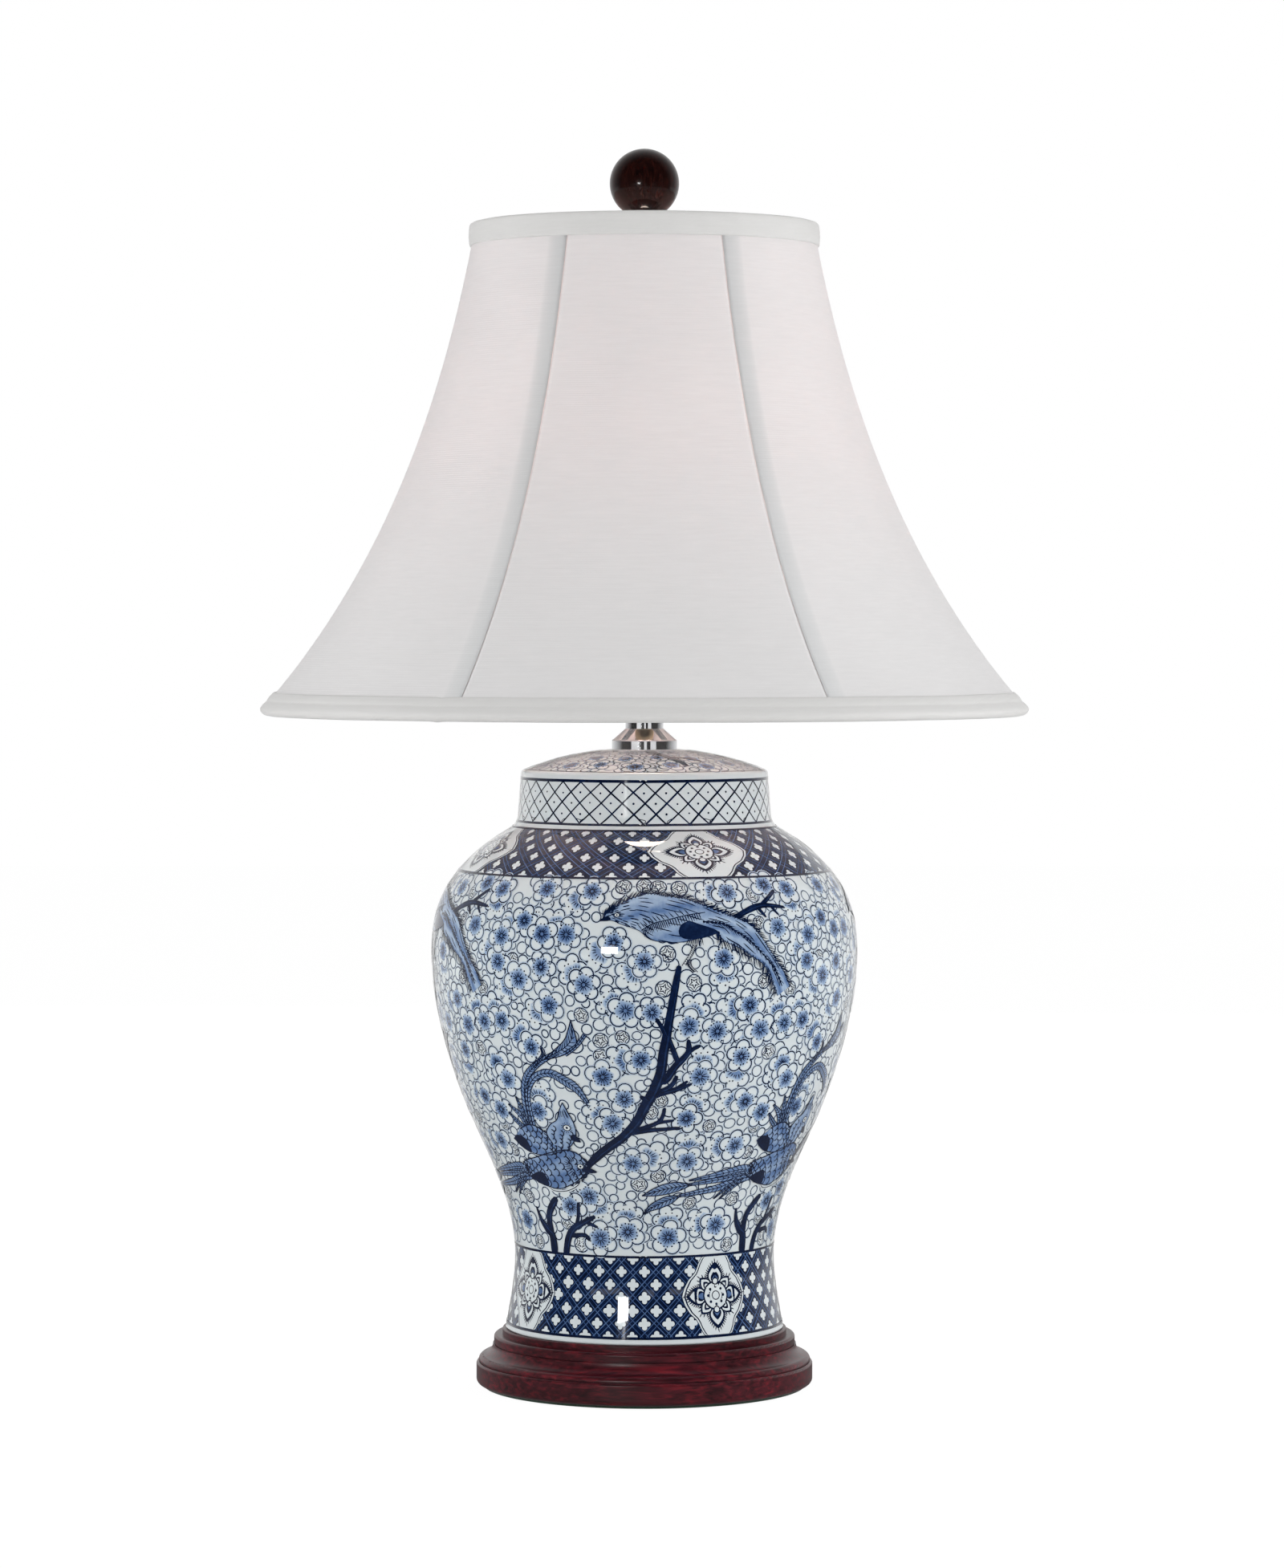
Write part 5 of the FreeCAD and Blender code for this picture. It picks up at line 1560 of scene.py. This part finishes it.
branches = {
    # path in (degrees, millimetres), then its width from start to end
    "trunk": ([(8.9, 219.3), (8.1, 210.0), (7.3, 199.9), (6.5, 189.6), (5.9, 180.6),
               (5.2, 171.7), (4.7, 161.9), (3.5, 153.9), (1.9, 146.6), (-0.1, 139.8),
               (-1.8, 132.9), (-4.0, 127.3), (-7.5, 120.9), (-11.4, 115.8), (-15.3, 110.7),
               (-20.0, 103.6)], (3.2, 4.4, 5.4, 4.8, 4.2)),
    "rightBranch": ([(5.0, 155.6), (6.5, 157.5), (8.6, 164.1), (10.7, 168.6), (12.2, 173.1),
                     (12.0, 178.6)], (4.4, 3.6, 2.4)),
    "rightFork": ([(10.7, 168.9), (13.1, 173.7), (15.1, 175.8)], (2.4, 1.9)),
    "innerBranch": ([(6.0, 182.5), (7.7, 174.5), (9.4, 166.3)], (2.4, 2.6)),
    "topTwig": ([(3.2, 191.2), (4.7, 186.4), (6.2, 179.8)], (1.8, 2.6)),
    "twigA": ([(3.6, 149.0), (6.3, 150.9), (8.2, 154.2), (9.1, 158.0)], (3.0, 2.6, 2.2)),
    "twigB": ([(3.4, 148.0), (8.3, 150.2), (11.2, 152.1), (13.4, 153.6)], (3.4, 2.6, 1.6)),
    "twigC": ([(9.2, 151.0), (12.2, 155.2)], (2.0, 1.7)),
    "stub": ([(1.8, 142.6), (-0.9, 146.4)], (3.2, 2.2)),
    "lowA": ([(-4.2, 125.2), (0.6, 128.1), (4.1, 130.8), (5.5, 134.3), (6.1, 139.0)],
             (2.6, 2.2, 1.8)),
    "lowB": ([(3.4, 130.6), (8.8, 132.0)], (2.2, 1.6)),
    "lowC": ([(-5.2, 124.2), (1.3, 126.0), (6.0, 126.6), (10.9, 127.4)], (3.0, 2.4, 1.7)),
    "tailTwig": ([(24.4, 245.4), (28.5, 249.5), (32.3, 252.1), (35.7, 252.6), (41.2, 251.2)],
                 (2.9, 3.2, 1.8)),
    "tailTwigUp": ([(33.8, 252.6), (36.8, 256.9), (39.6, 261.0)], (2.4, 1.9)),
    "tailTwigDown": ([(32.6, 251.2), (34.5, 246.2)], (2.0, 1.2)),
    "tailTwigEnd": ([(37.0, 252.0), (38.7, 247.3)], (1.8, 1.1)),
    "stumpA": ([(-42.5, 48.6), (-43.1, 58.8), (-45.6, 62.1), (-48.4, 67.5), (-49.8, 74.6)],
               (4.6, 4.0, 1.2)),
    "stumpB": ([(-43.5, 59.5), (-43.3, 68.8), (-41.6, 74.1), (-37.8, 80.4)], (3.8, 3.6, 4.0)),
    "stumpC": ([(-36.2, 48.6), (-34.4, 57.6), (-31.3, 63.6), (-26.2, 67.6), (-21.2, 71.2)],
               (3.9, 3.6, 2.4)),
    "stumpD": ([(-29.6, 65.2), (-28.0, 71.8), (-27.2, 79.0)], (2.0, 1.8)),
    "stumpE": ([(-25.0, 68.2), (-20.2, 65.6)], (2.2, 1.6)),
    "stumpF": ([(-32.0, 59.6), (-26.2, 60.4), (-24.2, 58.0)], (2.4, 2.0)),
}


def paintBranches():
    paint = newPaint()
    up = lifts["branch"]
    for name, (points, widths) in branches.items():
        path = smoothLine(points, 5)
        n = len(path)
        share = np.linspace(0, 1, n)
        width = 1.14 * np.interp(share, np.linspace(0, 1, len(widths)), widths)
        rough = np.array([random.uniform(-0.22, 0.22) for _ in range(n)])
        rough = np.convolve(rough, (0.3, 0.4, 0.3), "same")
        tone = 0.96 + 0.03 * np.sin(9 * share + len(name))
        ribbon(paint, path, width + rough, up, tone, taper=(0.8, 0.75))
        # the brush runs drier along one side
        side = path.copy()
        side[:, 0] += 0.22 * width / jarRadius(path[:, 1])
        ribbon(paint, side[2:-1], width[2:-1] * 0.16, up + 0.02, 0.86, taper=(0.3, 0.3))
        # both ends are round, but for those that a band covers
        for end in (-1, 0):
            if 52 < path[end][1] < 266:
                edge = onSpot(*path[end], circle(12) * width[end] * 0.42)
                patch(paint, path[end], edge, up, (0.97, 0.97), 1)
    layPaint(paint, "branchPaint", repeats)


paintBranches()
print("branches painted")


# Birds: blue bodies first, then feathers and scales in navy

birds = {
    "topTone": 0.40,
    "pairTone": 0.47,
    "topBack": [(-11.4, 245.3), (-10.1, 249.5), (-8.4, 251.7), (-6.7, 254.6), (-2.8, 258.6),
                (1.6, 260.8), (6.5, 259.3), (11.3, 257.7), (15.6, 254.4), (19.9, 250.6),
                (24.4, 246.9), (27.8, 244.0), (30.2, 240.4), (32.9, 233.5), (36.9, 221.8),
                (39.4, 215.5), (41.5, 207.5)],
    "topBelly": [(-11.4, 245.2), (-8.6, 245.1), (-6.6, 243.4), (-3.6, 241.4), (-1.2, 239.4),
                 (1.5, 234.9), (6.0, 233.4), (9.9, 233.4), (13.0, 234.6), (17.0, 237.0),
                 (19.6, 237.6), (21.3, 233.5), (25.0, 230.0), (27.9, 226.5), (32.9, 219.5),
                 (35.3, 211.5), (37.6, 202.5)],
    "topPatch": [(12.0, 245.0), (15.2, 242.6), (18.4, 240.4), (19.6, 238.4), (17.6, 236.4),
                 (14.2, 235.0), (11.2, 234.8), (9.4, 236.4), (9.0, 239.4), (9.8, 243.0)],
    "upperHead": ([(-25.5, 142.1), (-27.4, 136.0), (-28.6, 131.3), (-31.5, 128.0),
                   (-33.5, 122.5), (-32.0, 115.7)],
                  [(-25.5, 142.1), (-24.2, 136.2), (-22.8, 129.6), (-22.6, 123.5),
                   (-24.0, 118.0), (-26.6, 113.4)]),
    "upperBody": ([(-31.0, 123.0), (-33.5, 122.5), (-37.1, 126.3), (-40.0, 127.1),
                   (-44.5, 124.3)],
                  [(-25.5, 113.5), (-31.5, 110.5), (-34.6, 108.9), (-41.9, 109.2),
                   (-48.6, 117.6)]),
    "upperPatch": [(-49.5, 117.4), (-46.7, 120.1), (-43.2, 117.4), (-42.6, 109.4),
                   (-46.8, 112.6)],
    "lowerBody": ([(-49.5, 100.5), (-47.6, 103.7), (-41.4, 106.6), (-34.8, 110.0),
                   (-28.2, 112.6), (-23.6, 110.6), (-21.0, 105.7), (-20.2, 102.0)],
                  [(-49.5, 96.5), (-47.9, 94.0), (-43.5, 90.4), (-39.5, 88.6), (-34.3, 87.6),
                   (-28.7, 90.6), (-24.7, 94.2), (-22.3, 98.0)]),
    "lowerPatch": [(-47.9, 94.0), (-42.3, 97.4), (-39.6, 96.2), (-38.9, 89.0), (-43.5, 90.0)],
    "upperEye": (-25.5, 126.7),
    "lowerEye": (-23.3, 102.5),
    "topEye": (-7.4, 248.2),
    "topBeak": [(-12.4, 244.6), (-10.6, 247.2), (-9.2, 246.8), (-9.4, 245.0)],
    "upperBeak": [(-23.0, 122.8), (-21.4, 118.0), (-24.4, 118.8), (-24.8, 121.8)],
    "lowerBeak": [(-21.4, 103.2), (-17.2, 99.2), (-21.6, 98.6), (-23.0, 100.6)],
    "topWing": [(-0.9, 239.8), (2.2, 243.5), (6.1, 245.5), (11.5, 248.1), (16.5, 249.5)],
    "topThigh": (13.4, 235.5),
    "topLegs": [[(13.3, 232.0), (12.2, 226.8), (10.2, 220.6)],
                [(11.6, 224.0), (11.8, 220.4), (13.4, 217.0)]],
    # rows of feathers: where they begin along the body, how long they are, and how many
    "topFeathers": [((0.07, 0.11), (0.02, 0.04), 8), ((0.12, 0.16), (0.02, 0.05), 9),
                    ((0.17, 0.22), (0.03, 0.06), 9), ((0.23, 0.29), (0.04, 0.07), 9),
                    ((0.31, 0.38), (0.05, 0.08), 8), ((0.40, 0.48), (0.06, 0.09), 7),
                    ((0.50, 0.58), (0.06, 0.09), 6), ((0.60, 0.68), (0.06, 0.09), 5),
                    ((0.70, 0.78), (0.06, 0.09), 5), ((0.82, 0.90), (0.05, 0.08), 4)],
    "ruff": (-24.6, 102.0),  # between the lower bird's head and its back
    "lowerBreast": [(-39.5, 88.4), (-36.9, 86.0), (-31.0, 86.6), (-26.2, 90.0), (-24.0, 94.2)],
}
plumes = {
    # path of each long feather in (degrees, millimetres), and its widths
    "curlLeft": ([(-39.6, 126.5), (-39.2, 139.4), (-38.0, 149.7), (-36.0, 157.3),
                  (-32.8, 162.9), (-29.4, 167.1), (-24.5, 172.0)], (3.6, 4.4, 3.6, 2.6)),
    "curlRight": ([(-38.2, 127.0), (-38.0, 139.5), (-36.6, 149.2), (-33.0, 156.9),
                   (-28.2, 159.3), (-24.1, 155.7), (-20.2, 150.6), (-17.2, 142.0)],
                  (3.2, 3.4, 3.6, 4.6, 5.4, 2.0)),
    "sprout": ([(-33.5, 161.8), (-30.8, 166.8), (-29.5, 170.4), (-29.8, 174.0)],
               (2.0, 1.8, 0.8)),
    "leafTail": ([(-22.6, 170.6), (-18.9, 175.7), (-16.2, 182.4)], (2.6, 2.0, 2.2)),
    "fanOuter": ([(-40.6, 125.5), (-42.6, 132.9), (-46.6, 139.0)], (3.4, 3.6, 0.8)),
    "fanMiddle": ([(-40.3, 125.5), (-41.2, 135.3), (-42.4, 144.1)], (3.2, 3.2, 0.8)),
    "fanInner": ([(-42.0, 124.5), (-45.0, 128.8), (-47.6, 134.0)], (3.0, 3.0, 0.8)),
    "tailTop": ([(-46.6, 98.4), (-52.5, 99.2), (-60.9, 97.2), (-73.4, 94.0)],
                (5.0, 5.6, 4.0, 0.8)),
    "tailMiddle": ([(-46.4, 96.4), (-54.0, 95.2), (-62.4, 93.6), (-73.2, 91.3)],
                   (4.6, 4.6, 3.4, 1.4)),
    "tailLow": ([(-47.2, 94.4), (-55.0, 91.4), (-61.7, 88.4), (-69.3, 86.5), (-76.6, 84.6)],
                (4.4, 4.8, 4.0, 3.0, 1.6)),
    "tailSpur": ([(-50.0, 93.0), (-55.5, 87.0), (-59.4, 81.6)], (2.4, 2.0, 0.6)),
    "tailSpurB": ([(-53.0, 92.4), (-58.0, 87.0), (-62.0, 82.0)], (2.2, 1.8, 0.6)),
}
leaves = {
    "curlTip": ([(-29.4, 167.1), (-25.0, 174.0), (-22.4, 178.7), (-21.1, 183.9),
                 (-20.0, 190.2)],
                [(-29.4, 167.1), (-25.3, 168.8), (-21.7, 171.6), (-18.8, 177.6),
                 (-20.0, 190.2)]),
    "tailLeafUpper": ([(-72.2, 91.3), (-77.1, 93.0), (-81.7, 92.4), (-86.3, 89.6),
                       (-91.0, 84.9)],
                      [(-72.2, 91.1), (-76.8, 87.8), (-81.5, 85.8), (-86.2, 84.9),
                       (-91.0, 84.9)]),
    "tailLeafLower": ([(-76.2, 84.8), (-81.4, 84.4), (-86.1, 81.1), (-88.5, 78.1),
                       (-90.6, 73.5)],
                      [(-76.2, 84.4), (-79.2, 80.3), (-83.6, 77.4), (-88.0, 75.4),
                       (-90.6, 73.5)]),
}


def streaky(base, depth, waves):
    # uneven brush strokes along a body
    shift = random.uniform(0, 6.28)

    def tone(share, across):
        return base + depth * np.sin(share * waves + across * 9 + shift) \
            + 0.5 * depth * np.sin(share * waves * 2.7 + across * 21)
    return tone


def stroke(lines, spot, first, last, width, lift, tone=0.97, taper=(1, 0.25)):
    # one short stroke between two offsets from a spot, in millimetres
    offsets = np.array([first, (np.asarray(first) + last) / 2, last])
    ribbon(lines, nearSpot(spot[0], spot[1], offsets[:, 0], offsets[:, 1]), width, lift, tone,
           taper=taper)


def drawFringe(lines, path, lift, reach, side, lean):
    # loose barbs that leave an outline backward
    run, aside = alongLine(path)
    for k in range(1, len(path) - 1):
        long = reach * random.uniform(0.7, 1.25)
        out = run[k] * (1 - lean) + side * aside[k] * lean
        stroke(lines, path[k], -run[k] * long * 0.45 - side * aside[k] * long * 0.12,
               out * long * 0.75, 0.5 * random.uniform(0.8, 1.2), lift)


def drawEdges(lines, first, second, width, lift, tone=0.98):
    for edge in (first, second):
        ribbon(lines, edge, width, lift, tone)


def drawLeaf(fills, lines, first, second, lift):
    first, second = smoothLine(first, 6), smoothLine(second, 6)
    between(fills, first, second, lift, streaky(0.46, 0.06, 9), 3)
    up = lift + 0.03
    drawEdges(lines, first, second, 0.62, up)
    middle = (first + second) / 2
    ribbon(lines, middle[1:-1], 0.5, up, 0.98, taper=(0.5, 0.2))
    n = len(middle)
    for k in range(1, n - 3, 2):
        for edge in (first, second):
            out = middle[k] + (edge[min(k + 3, n - 1)] - middle[k]) * 0.92
            ribbon(lines, [middle[k], (middle[k] + out) / 2, out], 0.50, up, 0.97,
                   taper=(1, 0.3))


def drawPlume(fills, lines, points, widths, lift):
    path = smoothLine(points, 8)
    n = len(path)
    width = np.interp(np.linspace(0, 1, n), np.linspace(0, 1, len(widths)), widths)
    ribbon(fills, path, width, lift, birds["pairTone"])
    run, aside = alongLine(path)
    radius = jarRadius(path[:, 1])
    up = lift + 0.03
    ribbon(lines, path, 0.50, up, 0.98)
    for side in (1, -1):
        edge = path + side * aside * (width / 2)[:, None] / np.stack([radius, np.ones(n)], 1)
        ribbon(lines, edge, 0.50, up, 0.98)
        for k in range(1, n - 1, 2):
            stroke(lines, path[k], (0, 0), (side * aside[k] + run[k]) * width[k] * 0.62, 0.46,
                   up, 0.95, (1, 0.4))


def drawEye(lines, place, lift, size=1.0):
    spot = math.radians(place[0]), place[1]
    for shape, tone, extra in (((2.5, 2.1), 0.98, 0.0), ((1.9, 1.5), 0.0, 0.015),
                               ((0.75, 0.75), 0.98, 0.03)):
        edge = onSpot(*spot, circle(14) * shape * size)
        patch(lines, spot, edge, lift + extra, (tone, tone), 1)
    for ray in circle(14):
        stroke(lines, spot, ray * 2.6 * size, ray * 3.5 * size, 0.42, lift)


def bodySpot(first, second, share, across):
    # spot between two outlines of a body, 0 to 1 along it and across it
    at = min(max(share, 0), 1) * (len(first) - 1)
    low = min(int(at), len(first) - 2)
    part = at - low
    a, b = (edge[low] * (1 - part) + edge[low + 1] * part for edge in (first, second))
    return a * (1 - across) + b * across


def drawScales(lines, first, second, lift, rows, columns, size, begin=0.0):
    # overlapping scales between two outlines
    turns = np.linspace(-1.55, 1.55, 8)
    scale = np.stack([np.cos(turns), 1.1 * np.sin(turns)], 1) * size
    for row in range(rows):
        for column in range(columns):
            share = begin + (1 - begin) * (column + 0.5 * (row % 2) + 0.4) / (columns + 0.4)
            spot = bodySpot(first, second, share, (row + 0.6) / (rows + 0.2))
            ribbon(lines, onSpot(*spot, scale), 0.74, lift, 0.98)


def drawFeathers(lines, first, second, lift, count, start, reach, width):
    # strokes that follow the body between two outlines
    for k in range(count):
        across = (k + random.uniform(0.2, 0.8)) / count
        begin = random.uniform(*start)
        long = random.uniform(*reach)
        path = [bodySpot(first, second, begin + long * s, across + 0.05 * s)
                for s in np.linspace(0, 1, 6)]
        ribbon(lines, path, width * random.uniform(0.8, 1.25), lift, random.uniform(0.92, 1.0),
               taper=(0.35, 0.2))


def solidShape(paint, points, lift, tone):
    loop = smoothLine(points + points[:1], 4)[:-1]
    patch(paint, loop.mean(0), loop, lift, (tone, tone), 3)


def paintLegs(fills, lines, up):
    # thigh of loose feathers, then ringed leg and toes
    bearing, length = birds["topThigh"]
    for k in range(-4, 5):
        stroke(lines, (math.radians(bearing + 0.42 * k), length), (0, 0),
               (0.35 * k - 0.6, 0.3 * abs(k) - 5.2), 0.5, up + 0.02, 0.92)
    ring = np.array([(-0.9, 0.4), (0, -0.3), (0.9, 0.4)])
    for leg in birds["topLegs"]:
        path = smoothLine(leg, 6)
        ribbon(fills, path, 2.0, up, 0.0)
        for side in (1.0, -1.0):
            edge = path.copy()
            edge[:, 0] += side / jarRadius(path[:, 1])
            ribbon(lines, edge, 0.42, up + 0.03, 0.97)
        for spot in path[1:-1]:
            ribbon(lines, onSpot(*spot, ring), 0.42, up + 0.03, 0.97)


def paintTopBird(fills, lines):
    up = lifts["bird"]
    back, belly = smoothLine(birds["topBack"], 8), smoothLine(birds["topBelly"], 8)
    between(fills, back, belly, up, streaky(birds["topTone"], 0.10, 14), 8)
    drawEdges(lines, back, belly, 0.36, up + 0.05, 0.93)
    drawFringe(lines, back[4:], up + 0.055, 6.0, 1, 0.62)
    drawFringe(lines, belly[len(back) * 5 // 8:], up + 0.055, 7.0, -1, 0.72)
    for start, reach, count in birds["topFeathers"]:
        drawFeathers(lines, back, belly, up + 0.055, count, start, reach, 0.55)
    middle = np.array([bodySpot(back, belly, s, 0.5) for s in np.linspace(0.52, 0.98, 26)])
    for side in (1, -1):
        drawFringe(lines, middle, up + 0.058, 5.5, side, 0.4)
    ribbon(lines, middle, 0.6, up + 0.058, 0.98)
    solidShape(fills, birds["topPatch"], up + 0.07, 0.90)
    wing = smoothLine(birds["topWing"], 8)
    ribbon(lines, wing, 0.5, up + 0.08, 0.97)
    for spot in wing[1:-3]:
        long = random.uniform(3.4, 5.2)
        stroke(lines, spot, (0, 0), (long * 0.35, -long), 0.55, up + 0.08)
    for spot in wing[1:-6:2]:
        stroke(lines, spot, (-0.6, 0.4), (-3.2, 3.4), 0.5, up + 0.08)
    solidShape(lines, birds["topBeak"], up + 0.07, 0.98)
    stroke(lines, (math.radians(-10.4), 247.0), (0, 0), (4.2, 1.6), 0.7, up + 0.075)
    drawEye(lines, birds["topEye"], up + 0.09, 0.62)
    paintLegs(fills, lines, up)


def paintPair(fills, lines):
    # two birds face to tail, with long curling feathers
    up = lifts["bird"]
    for points, widths in plumes.values():
        drawPlume(fills, lines, points, widths, up)
    for first, second in leaves.values():
        drawLeaf(fills, lines, first, second, up + 0.02)
    for name, rows, columns, lift in (("upperBody", 5, 7, up + 0.06),
                                      ("lowerBody", 6, 11, up + 0.08)):
        first, second = (smoothLine(side, 6) for side in birds[name])
        between(fills, first, second, lift, streaky(birds["pairTone"], 0.09, 8), 6)
        ribbon(lines, first, 0.7, lift + 0.03, 0.98)
        ribbon(lines, second, 0.6, lift + 0.03, 0.98)
        drawScales(lines, first, second, lift + 0.035, rows, columns, 2.0)
    first, second = (smoothLine(side, 6) for side in birds["upperHead"])
    between(fills, first, second, up + 0.12, streaky(0.40, 0.06, 5), 6)
    drawEdges(lines, first, second, 0.6, up + 0.15)
    drawFeathers(lines, first, second, up + 0.155, 7, (0.12, 0.22), (0.14, 0.22), 0.42)
    drawScales(lines, first, second, up + 0.155, 3, 4, 1.5, 0.62)
    solidShape(fills, birds["upperPatch"], up + 0.12, 0.98)
    solidShape(fills, birds["lowerPatch"], up + 0.13, 0.98)
    solidShape(lines, birds["upperBeak"], up + 0.16, 0.98)
    solidShape(lines, birds["lowerBeak"], up + 0.16, 0.97)
    drawEye(lines, birds["upperEye"], up + 0.17)
    drawEye(lines, birds["lowerEye"], up + 0.17, 0.85)
    for a in np.linspace(1.9, 4.2, 12):
        ray = direction(a)
        stroke(lines, (math.radians(birds["ruff"][0]), birds["ruff"][1]), ray * 4.2, ray * 8.2,
               0.5, up + 0.165)
    breast = smoothLine(birds["lowerBreast"], 6)
    ribbon(fills, breast, 1.8, up + 0.05, 0.0)
    ribbon(lines, breast, 0.5, up + 0.08, 0.97, taper=(0.3, 0.3))


def paintBirds():
    fills, lines = newPaint(), newPaint()
    paintTopBird(fills, lines)
    paintPair(fills, lines)
    layPaint(fills, "birdBodies", repeats)
    layPaint(lines, "birdFeathers", repeats)


paintBirds()
print("birds painted")


# Dome: blossoms and one branch under the neck ring

dome = {
    # places on one half of the dome, in degrees and millimetres
    "blossoms": [(-44, 353), (-25, 355), (-5, 352), (15, 355), (35, 352), (55, 356), (74, 352),
                 (92, 356), (111, 352), (-36, 367), (-13, 366), (9, 369), (34, 366), (60, 369),
                 (84, 366), (108, 368), (-46, 380), (-14, 381), (30, 380), (70, 382),
                 (106, 381)],
    "radius": 8.8,
    "scatter": 2500,
    "branch": [(6, 388), (11, 378), (17, 370), (22, 360), (23, 352)],
    "fork": [(17, 369), (30, 366), (37, 360)],
}


def paintDome():
    lines, washes = newPaint(), newPaint()
    repeat = math.pi
    circles = [(math.radians(degrees), length, dome["radius"] * random.uniform(0.9, 1.05)
                * (0.6 + 0.4 * float(jarRadius(length)) / 66))
               for degrees, length in dome["blossoms"]]
    for (bearing, length, radius), layer in zip(circles, chooseLayers(circles, repeat, 4, 0.97)):
        drawBlossom(lines, washes, bearing, length, radius, layer)
    buds = scatterBuds(circles, [], repeat, 346.5, 387.0, dome["scatter"])
    for (bearing, length, size), layer in zip(buds, chooseLayers(buds, repeat, 3, 1.0)):
        drawBud(lines, washes, bearing, length, size * 0.9, layer)
    for name, widths in (("branch", (5.6, 3.2)), ("fork", (3.4, 2.0))):
        path = smoothLine(dome[name], 6)
        ribbon(lines, path, np.linspace(*widths, len(path)), 0.32, 0.97)
    layPaint(washes, "domeWash", 2)
    layPaint(lines, "domeLines", 2)


paintDome()
print("dome painted")
